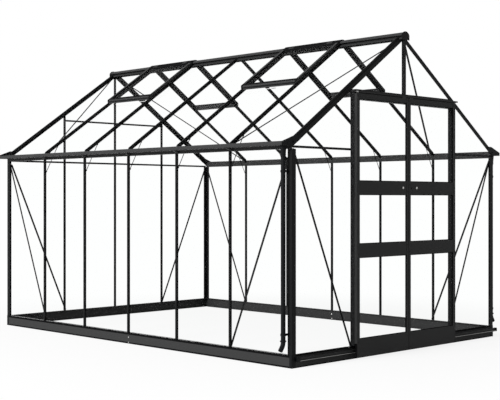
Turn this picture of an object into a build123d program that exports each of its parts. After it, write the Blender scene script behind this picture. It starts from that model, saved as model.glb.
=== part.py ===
from build123d import *
import os
from math import atan2, cos, degrees, hypot, radians, sin, tan

# Glass greenhouse with sliding double doors, millimetres, Z up.
# X runs across the gable, Y along the ridge, and the doors are in the gable at -Y.

# Plan and heights
bay_pitch = 620.0
side_bays = 6
gable_bays = 4
end_margin = 21.0
gable_margin = 28.0
plinth_height = 93.0
eaves_height = 1558.0
roof_step = 45.0
roof_pitch = 35.0

# Clearances
seat = 0.3
door_clearance = 6.0

# Aluminium sections
sheet = 3.0
bar_head = 14.0
bar_web = 4.0
bar_cap = 18.0
wall_cap_rise = 12.0
roof_cap_rise = 19.0
cap_chamfer = 4.0
gable_rafter_depth = 29.0
glass = 4.0
corner_leg = 42.0
glass_lap = 4.0
plinth_flange = 30.0
gable_roof_leg = 26.0

# Gutter, ridge and their end caps
gutter_reach = 104.0
gutter_floor = 23.0
gutter_lip = 50.0
gutter_upstand = 59.0
gutter_fold = 9.0
gutter_shelf = 24.0
cap_plate = 3.0
cap_inset = 78.0
cap_crown = 50.0
cap_rise = 98.0
cap_hole = 12.0
ridge_half_width = 43.0
ridge_rise = 29.0
ridge_drop = 35.0
hood_height = 26.0
ridge_web = 6.0
ridge_overhang = 25.0
ridge_cap_margin = 5.0

# Doorway
post_inner = 618.0
post_width = 12.0
post_fin = 4.0
post_front = 37.0
header_back = 12.0
post_foot_notch = 25.0
king_height = 466.0
header_height = 75.0
hood_overhang = 30.0
hood_step = 13.0
hood_drop = 12.0
king_width = 18.0
king_front = 24.0

# Door track
track_overhang = 72.0
track_setback = 61.0
track_base = 46.0
track_rail_height = 28.0
track_depth = 24.5
track_rail_offset = 13.5
track_lip = 6.0

# Doors
door_width = 622.0
door_half_gap = 3.0
door_depth = 16.0
door_floor_gap = 15.0
door_head_gap = 6.0
skirt_height = 139.0
top_rail_height = 40.0
mid_rail_height = 102.0
lower_rail_z = 763.0
upper_rail_z = 1235.0
outer_stile = 29.0
meeting_stile = 22.0
rail_depth = 12.0
groove_depth = 7.0
lock_hole = 12.0
lock_height = 50.0
lock_offset = 9.0

# Door rollers and guides
roller_radius = 10.0
roller_flange = 2.5
roller_width = 10.0
roller_play = 1.0
axle_radius = 4.0
roller_inset = 60.0
guide_length = 40.0
guide_play = 5.5

# Straps
strap_width = 17.0
knee_width = 5.0
knee_drop = 108.0
knee_run = 128.0
strap_end = 12.0
front_tie_rise = 8.0
back_tie_drop = 2.0
upper_tie_drop = 30.0

# Roof vents
vent_reach = 558.0
vent_rise = 22.0
vent_side = 24.0
vent_rail = 22.0
vent_head = 20.0
vent_flange = 6.0
vent_gap = 10.0
vent_lap = 14.0

# Rainwater pipes
pipe_radius = 17.0
pipe_wall = 2.5
pipe_offset = 42.0
pipe_inset = 45.0
funnel_radius = 24.0
funnel_height = 62.0
shoe_bend = 35.0
shoe_radius = 70.0
shoe_top = 190.0
shoe_tail = 30.0
ring_height = 10.0
clip_low = 232.0
clip_drop = 168.0
clip_height = 16.0

# Derived places
pitch = radians(roof_pitch)
half_length = side_bays * bay_pitch / 2 + end_margin
half_width = gable_bays * bay_pitch / 2 + gable_margin
pane_inset = sheet + seat
bar_lines = [bay_pitch * (i - side_bays / 2) for i in range(1, side_bays)]
gable_lines = [bay_pitch * (i - gable_bays / 2) for i in range(1, gable_bays)]
vent_bays = (-side_bays / 2 + 1.5, side_bays / 2 - 1.5)
apex_height = eaves_height + roof_step + half_width * tan(pitch)
bar_depth = pane_inset + glass + seat + sheet
post_outer = post_inner + post_width
hood_half_length = post_outer + hood_overhang
header_top = apex_height - king_height
header_bottom = header_top - header_height
door_back = post_front + door_clearance
door_front = door_back + door_depth
hood_top = header_top - hood_step
door_top = hood_top - hood_drop - door_head_gap
track_top = track_base + track_rail_height
brace_depth = bar_depth + seat
clip_heights = (clip_low, eaves_height - clip_drop)
length_shift = (door_front - ridge_overhang - cap_plate - seat) / 2


def roof_z(x, depth=0.0):
    """Height of the plane that lies a depth below the roof's outer face, at x."""
    return apex_height - abs(x) * tan(pitch) - depth / cos(pitch)


def plate_xz(points, width, y=0.0):
    """Prism of an outline in the X-Z plane, centred on y."""
    face = make_face(Plane.XZ * Polyline(*points, close=True))
    return Pos(0, y, 0) * extrude(face, width / 2, both=True)


def roof_band(x0, x1, top, bottom, width, y=0.0):
    """Band that follows the right slope between two depths, with plumb ends."""
    outline = [
        (x0, roof_z(x0, top)),
        (x1, roof_z(x1, top)),
        (x1, roof_z(x1, bottom)),
        (x0, roof_z(x0, bottom)),
    ]
    return plate_xz(outline, width, y)


def block(x0, x1, y0, y1, z0, z1):
    """Box between two corners."""
    middle = Pos((x0 + x1) / 2, (y0 + y1) / 2, (z0 + z1) / 2)
    return middle * Box(abs(x1 - x0), abs(y1 - y0), abs(z1 - z0))


def left_of(shape):
    """The same piece on the left side."""
    return mirror(shape, about=Plane.YZ)


def back_of(shape):
    """The same piece at the other gable."""
    return mirror(shape, about=Plane.XZ)


def strap(plane, start, end, width, thickness):
    """Flat strap with round ends between two points of a plane, on its outer side."""
    dx = end[0] - start[0]
    dy = end[1] - start[1]
    middle = Pos((start[0] + end[0]) / 2, (start[1] + end[1]) / 2)
    slot = middle * Rot(0, 0, degrees(atan2(dy, dx))) * SlotCenterToCenter(hypot(dx, dy), width)
    return extrude(plane * slot, thickness)


# Base frame

def channel_section(height, depth):
    """Folded channel, open on the inner side, its outer face on the local Y axis."""
    section = Rectangle(depth, height, align=(Align.MAX, Align.MIN))
    hollow = Rectangle(depth, height - 2 * sheet, align=(Align.MAX, Align.MIN))
    return section - Pos(-sheet, sheet) * hollow


def mitred_plinth(reach, span):
    """Base channel whose outer face stands at reach, mitred to the next ones."""
    profile = Plane.XZ * (Pos(reach, 0) * channel_section(plinth_height, plinth_flange))
    channel = extrude(profile, span, both=True)
    corner = span - seat
    inner = corner - plinth_flange
    plan = Polyline(
        (reach, -corner),
        (reach, corner),
        (reach - plinth_flange, inner),
        (reach - plinth_flange, -inner),
        close=True,
    )
    return channel & extrude(make_face(plan), plinth_height)


def side_plinths():
    right = mitred_plinth(half_width, half_length)
    return [left_of(right), right]


def end_plinths():
    back = Rot(0, 0, 90) * mitred_plinth(half_length, half_width)
    return [back_of(back), back]


def door_track():
    """Bottom track: base, back leg, running rail and a low front lip."""
    back = -half_length - seat
    left = track_setback - half_width
    right = half_width + track_overhang
    base = block(left, right, back - track_depth, back, track_base, track_base + sheet)
    leg = block(left, right, back - sheet, back, track_base, track_top)
    rail = block(left, right, back - track_rail_offset - sheet / 2, back - track_rail_offset + sheet / 2,
                 track_base, track_top)
    lip = block(left, right, back - track_depth, back - track_depth + sheet,
                track_base, track_base + track_lip)
    return [base + leg + rail + lip]


# Uprights

def corner_post():
    """Corner angle at +X +Y with two ribs that stop the panes."""
    w = half_width
    b = half_length
    base = plinth_height + seat
    top = eaves_height - seat
    rib = corner_leg - glass_lap
    side_leg = block(w - sheet, w, b - corner_leg, b, base, top)
    gable_leg = block(w - corner_leg, w, b - sheet, b, base, top)
    side_rib = block(w - bar_depth, w, b - rib, b - rib + bar_web, base, top)
    gable_rib = block(w - rib, w - rib + bar_web, b - bar_depth, b, base, top)
    return side_leg + gable_leg + side_rib + gable_rib


def corner_posts():
    back_right = corner_post()
    front_right = back_of(back_right)
    return [back_right, front_right, left_of(back_right), left_of(front_right)]


def tee_upright(height):
    """Glazing bar along Z: head and foot hold the panes, the cap stands out to local +X."""
    head = block(-sheet, 0, -bar_head / 2, bar_head / 2, 0, height)
    web = block(-bar_depth, -sheet, -bar_web / 2, bar_web / 2, 0, height)
    foot = block(-bar_depth, sheet - bar_depth, -bar_head / 2, bar_head / 2, 0, height)
    half = bar_cap / 2
    shoulder = wall_cap_rise - cap_chamfer
    outline = Polyline(
        (0, -half),
        (shoulder, -half),
        (wall_cap_rise, cap_chamfer - half),
        (wall_cap_rise, half - cap_chamfer),
        (shoulder, half),
        (0, half),
        close=True,
    )
    return head + web + foot + extrude(make_face(outline), height)


def wall_bars():
    base = plinth_height + seat
    bar = tee_upright(eaves_height - seat - base)
    return [Pos(half_width, y, base) * bar for y in bar_lines]


def gable_bar(x):
    """Upright of the back gable, cut to the slope under its rafter."""
    base = plinth_height + seat
    bar = Pos(x, half_length, base) * Rot(0, 0, 90) * tee_upright(apex_height)
    return bar & under_rafter(half_length)


def under_rafter(y):
    """Space between the base and the underside of a gable rafter."""
    clear = gable_rafter_depth + seat
    outline = [
        (-half_width, plinth_height),
        (half_width, plinth_height),
        (half_width, roof_z(half_width, clear)),
        (0, roof_z(0, clear)),
        (-half_width, roof_z(half_width, clear)),
    ]
    ridge_foot = apex_height - ridge_drop - seat
    below_ridge = block(-half_width, half_width, y - 2 * post_front, y + 2 * post_front, 0, ridge_foot)
    return plate_xz(outline, 4 * post_front, y) & below_ridge


def back_gable_bars():
    return [gable_bar(x) for x in gable_lines]


# Eaves and gutters

def gutter_beam():
    """Eaves beam and gutter in one extrusion: shelf, upstand, trough and rolled lip."""
    w = half_width
    shelf = eaves_height
    floor = eaves_height + gutter_floor
    shelf_section = Pos(w - gutter_shelf / 2, shelf + sheet / 2) * Rectangle(gutter_shelf, sheet)
    upstand = Pos(w - sheet / 2, shelf + gutter_upstand / 2) * Rectangle(sheet, gutter_upstand)
    outer = FilletPolyline(
        (w - sheet, floor),
        (w + gutter_reach, floor),
        (w + gutter_reach, shelf + gutter_lip),
        (w + gutter_reach - gutter_fold, shelf + gutter_lip),
        radius=sheet * 1.5,
    )
    inner = FilletPolyline(
        (w - sheet, floor + sheet),
        (w + gutter_reach - sheet, floor + sheet),
        (w + gutter_reach - sheet, shelf + gutter_lip - sheet),
        (w + gutter_reach - gutter_fold, shelf + gutter_lip - sheet),
        radius=sheet * 0.5,
    )
    trough = make_face(outer + inner + Line(outer @ 0, inner @ 0) + Line(outer @ 1, inner @ 1))
    section = shelf_section + upstand + trough
    beam = extrude(Plane.XZ * section, half_length, both=True)
    outlet = Pos(w + pipe_offset, pipe_inset - half_length, floor) * Cylinder(
        funnel_radius - 2 * pipe_wall, 3 * sheet)
    return beam - outlet


def gutter_cap():
    """End plate of one gutter, with its fixing hole."""
    w = half_width
    inner = w - cap_inset
    outline = [
        (inner, roof_z(inner, gable_rafter_depth)),
        (inner, eaves_height + cap_rise),
        (inner + cap_crown, eaves_height + cap_rise),
        (w + gutter_reach, eaves_height + gutter_lip),
        (w + gutter_reach, eaves_height + gutter_floor),
        (w, eaves_height + gutter_floor - seat),
    ]
    y = half_length + seat + cap_plate / 2
    plate = plate_xz(outline, cap_plate, y)
    hole_z = eaves_height + gutter_lip + seat
    hole = Pos(w - cap_hole, y, hole_z) * Rot(90, 0, 0) * Cylinder(cap_hole / 2, 3 * cap_plate)
    return plate - hole


def gutter_caps():
    back_right = gutter_cap()
    front_right = back_of(back_right)
    return [back_right, front_right, left_of(back_right), left_of(front_right)]


# Roof frame

def rafter_cap(y):
    """Glazing cap with chamfered edges on a rafter of the right slope."""
    x0 = ridge_half_width + seat
    x1 = half_width - pane_inset
    shoulder = roof_cap_rise - cap_chamfer
    base = roof_band(x0, x1, -shoulder, 0, bar_cap, y)
    return base + roof_band(x0, x1, -roof_cap_rise, 0, bar_cap - 2 * cap_chamfer, y)


def gable_rafter():
    """Rafter of the back gable, right slope: angle, pane rib and cap."""
    x0 = ridge_web / 2 + seat
    x1 = half_width - pane_inset
    leg = roof_band(x0, x1, 0, gable_rafter_depth, sheet, half_length - sheet / 2)
    cover = roof_band(x0, x1, 0, sheet, gable_roof_leg, half_length - gable_roof_leg / 2)
    rib_y = half_length - gable_roof_leg + 2 * glass_lap + bar_web / 2
    rib = roof_band(x0, x1, 0, bar_depth, bar_web, rib_y)
    return leg + cover + rib + rafter_cap(half_length - gable_roof_leg + bar_cap / 2)


def rafter(y):
    """Tee rafter of the right slope, from the ridge web to the gutter's upstand."""
    x0 = ridge_web / 2 + seat
    x1 = half_width - pane_inset
    head = roof_band(x0, x1, 0, sheet, bar_head, y)
    web = roof_band(x0, x1, 0, bar_depth, bar_web, y)
    foot = roof_band(x0, x1, bar_depth - sheet, bar_depth, bar_head, y)
    return head + web + foot + rafter_cap(y)


def roof_bars():
    return [rafter(y) for y in bar_lines]


def ridge_beam():
    """Ridge: plumb web, two glazing wings and a curved hood."""
    top = apex_height + ridge_rise
    lip = top - hood_height
    length = 2 * (half_length + ridge_overhang)
    web = plate_xz([
        (-ridge_web / 2, apex_height - ridge_drop),
        (ridge_web / 2, apex_height - ridge_drop),
        (ridge_web / 2, top - sheet),
        (-ridge_web / 2, top - sheet),
    ], length)
    outer = ThreePointArc((-ridge_half_width, lip), (0, top), (ridge_half_width, lip))
    inner = ThreePointArc((-ridge_half_width, lip - sheet), (0, top - sheet),
                          (ridge_half_width, lip - sheet))
    edges = outer + inner + Line(outer @ 0, inner @ 0) + Line(outer @ 1, inner @ 1)
    hood = extrude(Plane.XZ * make_face(edges), length / 2, both=True)
    wing = roof_band(0, ridge_half_width, -sheet - seat, -seat, length)
    return [web + hood + wing + left_of(wing)]


def ridge_caps():
    """End plates that close the ridge section."""
    top = apex_height + ridge_rise + ridge_cap_margin
    reach = ridge_half_width + ridge_cap_margin
    lip = top - hood_height - sheet
    y = half_length + ridge_overhang + seat + cap_plate / 2
    crown = ThreePointArc((-reach, lip), (0, top), (reach, lip))
    foot = Polyline(
        crown @ 1,
        (reach, roof_z(reach)),
        (0, apex_height - ridge_drop),
        (-reach, roof_z(reach)),
        crown @ 0,
    )
    plate = extrude(Plane.XZ * make_face(crown + foot), cap_plate / 2, both=True)
    back = Pos(0, y, 0) * plate
    return [back_of(back), back]


# Doorway

def door_post():
    """Slim box post right of the doorway with a pane fin, notched at the foot for the rollers."""
    front = -half_length - post_front
    back = -half_length
    base = plinth_height + seat
    outer = block(post_inner, post_outer, front, back, base, apex_height)
    hollow = block(post_inner + sheet, post_outer - sheet, front + sheet, back - sheet, base, apex_height)
    notch = block(post_inner, post_outer, front, back, base, base + post_foot_notch)
    fin = block(post_inner, post_inner + post_fin, back - sheet, back + bar_depth, base, apex_height)
    return (outer - hollow - notch + fin) & under_rafter(-half_length)


def door_posts():
    right = door_post()
    return [left_of(right), right]


def door_header():
    """Header channel between the posts with the hood that guides both doors."""
    front = -half_length - post_front
    back = -half_length + header_back
    reach = post_inner - seat
    beam = block(-reach, reach, front, back, header_bottom, header_top)
    hollow = block(-reach, reach, front + sheet, back, header_bottom + sheet, header_top - sheet)
    hood_back = front - seat
    hood_front = -half_length - door_front
    crown = block(-hood_half_length, hood_half_length, hood_front, hood_back, hood_top - sheet, hood_top)
    joint = block(-reach, reach, hood_back - sheet, front + sheet, hood_top - sheet, hood_top)
    rear = block(-hood_half_length, hood_half_length, hood_back - sheet, hood_back,
                 hood_top - hood_drop, hood_top)
    lip = block(-hood_half_length, hood_half_length, hood_front, hood_front + sheet,
                hood_top - hood_drop, hood_top)
    fitted = (beam - hollow) & under_rafter(-half_length)
    return [fitted + joint + crown + rear + lip]


def front_king_bar():
    """Box upright from the header to the apex with a web between the front lights."""
    front = -half_length - king_front
    back = -half_length + bar_depth
    half = king_width / 2
    z0 = header_top + seat
    box = block(-half, half, front, -half_length, z0, apex_height)
    bore = block(sheet - half, half - sheet, front + sheet, -half_length - sheet, z0, apex_height)
    web = block(-bar_web / 2, bar_web / 2, -half_length - sheet, back, z0, apex_height)
    return [(box - bore + web) & under_rafter(-half_length)]


# Ties and braces

def gable_ties():
    """Flat ties at eaves level, and between the outer bars of the back gable."""
    y = half_length - brace_depth - sheet
    reach = half_width - gutter_shelf - seat
    low = eaves_height - back_tie_drop
    back = block(-reach, reach, y, y + sheet, low, low + strap_width)
    outer_bar = gable_lines[-1] + bar_web
    high = roof_z(outer_bar, gable_rafter_depth) - strap_width - upper_tie_drop
    upper = block(-outer_bar, outer_bar, y, y + sheet, high, high + strap_width)
    front_low = eaves_height + front_tie_rise
    front_right = block(post_inner, half_width - pane_inset, -y - sheet, -y,
                        front_low, front_low + strap_width)
    return [back, upper, front_right, left_of(front_right)]


def side_brace():
    """Diagonal of the right wall's back bay, from the post head to the next bar's foot."""
    plane = Plane(origin=(half_width - brace_depth - sheet, 0, 0), x_dir=(0, 1, 0), z_dir=(1, 0, 0))
    head = (half_length - corner_leg + strap_end, eaves_height - 2 * strap_end)
    foot = (bar_lines[-1], plinth_height + strap_end)
    return strap(plane, head, foot, strap_width, sheet)


def side_wall_braces():
    back_right = side_brace()
    front_right = back_of(back_right)
    return [back_right, front_right, left_of(back_right), left_of(front_right)]


def gable_brace(foot_x, y, z_dir):
    """Diagonal of a gable's outer bay on the right side."""
    plane = Plane(origin=(0, y, 0), x_dir=(1, 0, 0), z_dir=z_dir)
    side = -z_dir[1]
    head = (half_width - corner_leg, side * (eaves_height - 3 * strap_end))
    foot = (foot_x, side * (plinth_height + strap_end))
    return strap(plane, head, foot, strap_width, sheet)


def gable_braces():
    y = half_length - brace_depth
    back = gable_brace(gable_lines[-1], y, (0, -1, 0))
    front = back_of(gable_brace(post_inner + post_fin, y, (0, -1, 0)))
    return [left_of(back), back, left_of(front), front]


def roof_brace():
    """Diagonal of the right slope's back bay, under the rafters."""
    origin = (0, 0, roof_z(0, brace_depth + sheet))
    plane = Plane(origin=origin, x_dir=(cos(pitch), 0, -sin(pitch)), z_dir=(sin(pitch), 0, cos(pitch)))
    head = (ridge_half_width, half_length - gable_roof_leg + strap_width / 2)
    foot = ((half_width - 2 * gutter_shelf) / cos(pitch), bar_lines[-1])
    return strap(plane, head, foot, strap_width, sheet)


def roof_braces():
    back_right = roof_brace()
    front_right = back_of(back_right)
    return [back_right, front_right, left_of(back_right), left_of(front_right)]


def knee_brace(y):
    """Knee strap beside the webs of a wall bar and its rafter."""
    depth = pane_inset + glass + seat + knee_width / 2
    wall_point = (half_width - depth, eaves_height - knee_drop)
    roof_x = half_width - knee_run
    roof_point = (roof_x, roof_z(roof_x, depth))
    plane = Plane(origin=(0, y - bar_head / 2 - seat, 0), x_dir=(1, 0, 0), z_dir=(0, -1, 0))
    return strap(plane, wall_point, roof_point, knee_width, sheet)


def knee_braces():
    right = [knee_brace(y) for y in bar_lines]
    return right + [left_of(piece) for piece in right]


# Glass

def wall_glass():
    """Panes of the right wall, one for each bay."""
    x1 = half_width - pane_inset
    z0 = plinth_height + seat
    z1 = eaves_height - seat
    stop = half_length - corner_leg + glass_lap - seat
    edges = [-stop] + bar_lines + [stop]
    panes = []
    for low, high in zip(edges[:-1], edges[1:]):
        y0 = low if low == -stop else low + bar_web + seat
        y1 = high if high == stop else high - bar_web - seat
        panes.append(block(x1 - glass, x1, y0, y1, z0, z1))
    return panes


def gable_pane(x0, x1, z0, y):
    """Pane of the right half of a gable, its top edge parallel to the roof."""
    clear = sheet + glass + 2 * seat
    outline = [
        (x0, z0),
        (x1, z0),
        (x1, roof_z(x1, clear)),
        (x0, roof_z(x0, clear)),
    ]
    return plate_xz(outline, glass, y)


def back_gable_glass():
    y = half_length - pane_inset - glass / 2
    stop = half_width - corner_leg + glass_lap - seat
    z0 = plinth_height + seat
    side = bar_web + seat
    inner = gable_pane(side, gable_lines[-1] - side, z0, y)
    outer = gable_pane(gable_lines[-1] + side, stop, z0, y)
    return [inner, outer, left_of(inner), left_of(outer)]


def front_gable_glass():
    y = -half_length + pane_inset + glass / 2
    stop = half_width - corner_leg + glass_lap - seat
    panel = gable_pane(post_inner + post_fin + seat, stop, plinth_height + seat, y)
    light = gable_pane(ridge_web / 2 + seat, post_inner - seat, header_top + seat, y)
    return [panel, light, left_of(panel), left_of(light)]


def roof_pane(x0, y0, y1):
    """Roof pane of the right slope from x0 down to the gutter's upstand."""
    x1 = half_width - pane_inset
    return roof_band(x0, x1, pane_inset, pane_inset + glass, y1 - y0, (y0 + y1) / 2)


def roof_glass():
    """Panes of the right slope; those below a vent start under its bottom rail."""
    stop = half_length - gable_roof_leg + 2 * glass_lap - seat
    edges = [-stop] + bar_lines + [stop]
    panes = []
    for index, (low, high) in enumerate(zip(edges[:-1], edges[1:])):
        y0 = low if low == -stop else low + bar_web + seat
        y1 = high if high == stop else high - bar_web - seat
        bay = index - side_bays / 2 + 0.5
        x0 = vent_reach - vent_lap if bay in vent_bays else ridge_web / 2 + seat
        panes.append(roof_pane(x0, y0, y1))
    return panes


# Roof vents

def vent_spans(bay, lap=0.0):
    """Light of a roof vent, grown by a lap: along the slope, across it and its middle."""
    x0 = ridge_half_width + seat + vent_head - lap
    x1 = vent_reach - vent_rail + lap
    return x0, x1, bay_pitch - vent_side + 2 * lap, bay * bay_pitch


def roof_vent(bay):
    """Closed vent frame on the caps of two rafters, with a flange between them."""
    low = roof_cap_rise + seat
    high = low + vent_rise
    middle = (low + high) / 2
    y = bay * bay_pitch
    frame = roof_band(ridge_half_width + seat, vent_reach, -high, -low, bay_pitch + vent_side, y)
    x0, x1, span, y = vent_spans(bay)
    light = roof_band(x0, x1, -high - sheet, sheet - low, span, y)
    x0, x1, span, y = vent_spans(bay, groove_depth)
    rebate = roof_band(x0, x1, -middle - glass / 2 - seat, -middle + glass / 2 + seat, span, y)
    flange = roof_band(vent_reach - vent_flange, vent_reach, -low - sheet, -vent_gap,
                       bay_pitch - bar_cap - vent_flange, y)
    return frame - light - rebate + flange


def vent_pane(bay):
    """Pane held in the rebate of a roof vent."""
    middle = roof_cap_rise + seat + vent_rise / 2
    x0, x1, span, y = vent_spans(bay, groove_depth - seat)
    return roof_band(x0, x1, -middle - glass / 2, -middle + glass / 2, span, y)


def vent_glass():
    right = [vent_pane(bay) for bay in vent_bays]
    return right + [left_of(piece) for piece in right]


# Rainwater pipes

def downpipe():
    """Funnel, pipe, socket ring and bent shoe at the front right corner."""
    x = half_width + pipe_offset
    y = -half_length + pipe_inset
    top = eaves_height + gutter_floor - seat
    neck = top - funnel_height
    drop = Line((0, neck), (0, shoe_top))
    bend = JernArc(start=drop @ 1, tangent=drop % 1, radius=shoe_radius, arc_size=shoe_bend)
    tail = Line(bend @ 1, bend @ 1 + shoe_tail * (bend % 1))
    path = Pos(x, y, 0) * (Plane.XZ * (drop + bend + tail))
    ring = Circle(pipe_radius) - Circle(pipe_radius - pipe_wall)
    pipe = sweep(Plane(origin=path @ 0, z_dir=path % 0) * ring, path)
    profile = Polyline(
        (pipe_radius, neck - clip_height),
        (pipe_radius + pipe_wall, neck - clip_height),
        (pipe_radius + pipe_wall, neck),
        (funnel_radius, top),
        (funnel_radius - pipe_wall, top),
        (pipe_radius, neck),
        close=True,
    )
    funnel = Pos(x, y, 0) * revolve(Plane.XZ * make_face(profile), Axis.Z)
    socket = Pos(x, y, shoe_top) * extrude(
        Circle(pipe_radius + pipe_wall) - Circle(pipe_radius), ring_height)
    return pipe + funnel + socket


def downpipes():
    right = downpipe()
    return [left_of(right), right]


def pipe_clip(z):
    """Strap round the pipe with a stem that stands on the corner post's leg."""
    x = half_width + pipe_offset
    y = -half_length + pipe_inset
    inner = pipe_radius + seat
    ring = Circle(inner + sheet) - Circle(inner)
    band = Pos(x, y, z) * extrude(ring, clip_height)
    stem = block(half_width + seat, x - inner, y - 3 * sheet, y - sheet, z, z + clip_height)
    return band + stem


def pipe_clips():
    right = [pipe_clip(z) for z in clip_heights]
    return right + [left_of(piece) for piece in right]


# Sliding doors, built as the right one

def door_outline():
    """Left, right, back and front of the right door at rest."""
    return door_half_gap, door_half_gap + door_width, -half_length - door_back, -half_length - door_front


def pane_slot(x0, x1, z0, z1, grow=0.0):
    """Space of the door's glass line, grown by a clearance."""
    middle = -half_length - (door_back + door_front) / 2
    half = glass / 2 + grow
    return block(x0, x1, middle - half, middle + half, z0, z1)


def door_stiles():
    """Grooved hollow uprights of a door."""
    x0, x1, back, front = door_outline()
    z0 = door_floor_gap
    meeting = block(x0, x0 + meeting_stile, front, back, z0, door_top)
    outer = block(x1 - outer_stile, x1, front, back, z0, door_top)
    slot = pane_slot(x0 + meeting_stile - groove_depth, x1 - outer_stile + groove_depth,
                     z0 + skirt_height - groove_depth, door_top - top_rail_height + groove_depth,
                     seat)
    bores = []
    for low, high in ((x0, x0 + meeting_stile - groove_depth), (x1 - outer_stile + groove_depth, x1)):
        bores.append(block(low + sheet, high - sheet, front + sheet, back - sheet, z0, door_top))
    return [meeting - slot - bores[0], outer - slot - bores[1]]


def rail(z, height):
    """Cross rail between the stiles, grooved for glass above and below."""
    x0, x1, back, front = door_outline()
    middle = (back + front) / 2
    left = x0 + meeting_stile + seat
    right = x1 - outer_stile - seat
    body = block(left, right, middle - rail_depth / 2, middle + rail_depth / 2, z, z + height)
    lower = pane_slot(left, right, z, z + groove_depth, seat)
    upper = pane_slot(left, right, z + height - groove_depth, z + height, seat)
    return body - lower - upper


def skirt():
    """Deep bottom box of a door."""
    x0, x1, back, front = door_outline()
    left = x0 + meeting_stile + seat
    right = x1 - outer_stile - seat
    z0 = door_floor_gap
    z1 = z0 + skirt_height
    body = block(left, right, front, back, z0, z1)
    hollow = block(left, right, front + sheet, back - sheet, z0 + sheet, z1 - groove_depth - sheet)
    slot = pane_slot(left, right, z1 - groove_depth, z1, seat)
    return body - hollow - slot


def door_rails():
    top = rail(door_top - top_rail_height, top_rail_height)
    return [skirt(), rail(lower_rail_z, mid_rail_height), rail(upper_rail_z, mid_rail_height), top]


def lock_rails():
    """Rails of the right door, with the lock's hole through the upper one."""
    skirt_box, lower, upper, top = door_rails()
    x0, x1, back, front = door_outline()
    centre = Pos(x0 + meeting_stile + lock_offset, (back + front) / 2, upper_rail_z + lock_height)
    hole = centre * Rot(90, 0, 0) * Cylinder(lock_hole / 2, 2 * door_depth)
    return [skirt_box, lower, upper - hole, top]


def door_glass():
    """Three panes of a door, held in the grooves."""
    x0, x1, back, front = door_outline()
    edge = groove_depth - seat
    left = x0 + meeting_stile - edge
    right = x1 - outer_stile + edge
    skirt_top = door_floor_gap + skirt_height
    top_rail = door_top - top_rail_height
    spans = (
        (skirt_top, lower_rail_z),
        (lower_rail_z + mid_rail_height, upper_rail_z),
        (upper_rail_z + mid_rail_height, top_rail),
    )
    return [pane_slot(left, right, low - edge, high + edge) for low, high in spans]


def roller(x):
    """Flanged roller on its axle behind the skirt."""
    rail_y = half_length + seat + track_rail_offset
    rim = roller_radius + roller_flange
    groove = sheet / 2 + roller_play
    half = roller_width / 2
    axle_end = door_back - seat - (rail_y - half_length)
    profile = Polyline(
        (0, -half),
        (rim, -half),
        (rim, -groove),
        (roller_radius, -groove),
        (roller_radius, groove),
        (rim, groove),
        (rim, half),
        (axle_radius, half),
        (axle_radius, axle_end),
        (0, axle_end),
        close=True,
    )
    wheel = revolve(make_face(profile), Axis.Y)
    return Pos(x, -rail_y, track_top + seat + roller_radius) * Rot(180, 0, 0) * wheel


def door_rollers():
    """Two bottom rollers and the block that runs in the hood."""
    x0, x1, back, front = door_outline()
    guide = block(x0 + meeting_stile, x0 + meeting_stile + guide_length,
                  -half_length - door_front + sheet + guide_play,
                  -half_length - post_front - sheet - seat - guide_play,
                  door_top + seat, hood_top - sheet - guide_play)
    return [roller(x0 + roller_inset), roller(x1 - roller_inset), guide]


def export_node(name, solids):
    """Write one node, shifted so that the outline is centred over the origin."""
    moved = [Pos(0, length_shift, 0) * solid for solid in solids]
    export_step(Compound(children=[Compound(piece.solids()) for piece in moved]), f"parts/{name}.step")


def mirrored(solids):
    return [left_of(solid) for solid in solids]


def main():
    os.makedirs("parts", exist_ok=True)
    walls = wall_bars()
    slopes = roof_bars()
    side_panes = wall_glass()
    roof_panes = roof_glass()
    vents = [roof_vent(bay) for bay in vent_bays]
    gutter = [gutter_beam()]
    export_node("side_plinths", side_plinths())
    export_node("end_plinths", end_plinths())
    export_node("door_track", door_track())
    export_node("corner_posts", corner_posts())
    export_node("left_wall_bars", mirrored(walls))
    export_node("right_wall_bars", walls)
    export_node("back_gable_bars", back_gable_bars())
    export_node("left_gutter_beam", mirrored(gutter))
    export_node("right_gutter_beam", gutter)
    export_node("gutter_caps", gutter_caps())
    rafter_back = gable_rafter()
    rafter_front = back_of(rafter_back)
    export_node("back_gable_rafters", [left_of(rafter_back), rafter_back])
    export_node("front_gable_rafters", [left_of(rafter_front), rafter_front])
    export_node("left_roof_bars", mirrored(slopes))
    export_node("right_roof_bars", slopes)
    export_node("ridge_beam", ridge_beam())
    export_node("ridge_caps", ridge_caps())
    export_node("door_posts", door_posts())
    export_node("door_header", door_header())
    export_node("front_king_bar", front_king_bar())
    export_node("gable_ties", gable_ties())
    export_node("side_wall_braces", side_wall_braces())
    export_node("gable_braces", gable_braces())
    export_node("roof_braces", roof_braces())
    export_node("knee_braces", knee_braces())
    export_node("left_wall_glass", mirrored(side_panes))
    export_node("right_wall_glass", side_panes)
    export_node("back_gable_glass", back_gable_glass())
    export_node("front_gable_glass", front_gable_glass())
    export_node("left_roof_glass", mirrored(roof_panes))
    export_node("right_roof_glass", roof_panes)
    export_node("left_roof_vents", mirrored(vents))
    export_node("right_roof_vents", vents)
    export_node("vent_glass", vent_glass())
    export_node("downpipes", downpipes())
    export_node("pipe_clips", pipe_clips())
    export_node("left_door_stiles", mirrored(door_stiles()))
    export_node("left_door_rails", mirrored(door_rails()))
    export_node("left_door_glass", mirrored(door_glass()))
    export_node("left_door_rollers", mirrored(door_rollers()))
    export_node("right_door_stiles", door_stiles())
    export_node("right_door_rails", lock_rails())
    export_node("right_door_glass", door_glass())
    export_node("right_door_rollers", door_rollers())


if __name__ == "__main__":
    main()
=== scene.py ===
import math

import bmesh
import bpy
from bpy.props import FloatProperty, FloatVectorProperty, PointerProperty
from bpy.types import NodeSocket, Operator, Panel, PropertyGroup
from mathutils import Matrix, Vector


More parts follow.
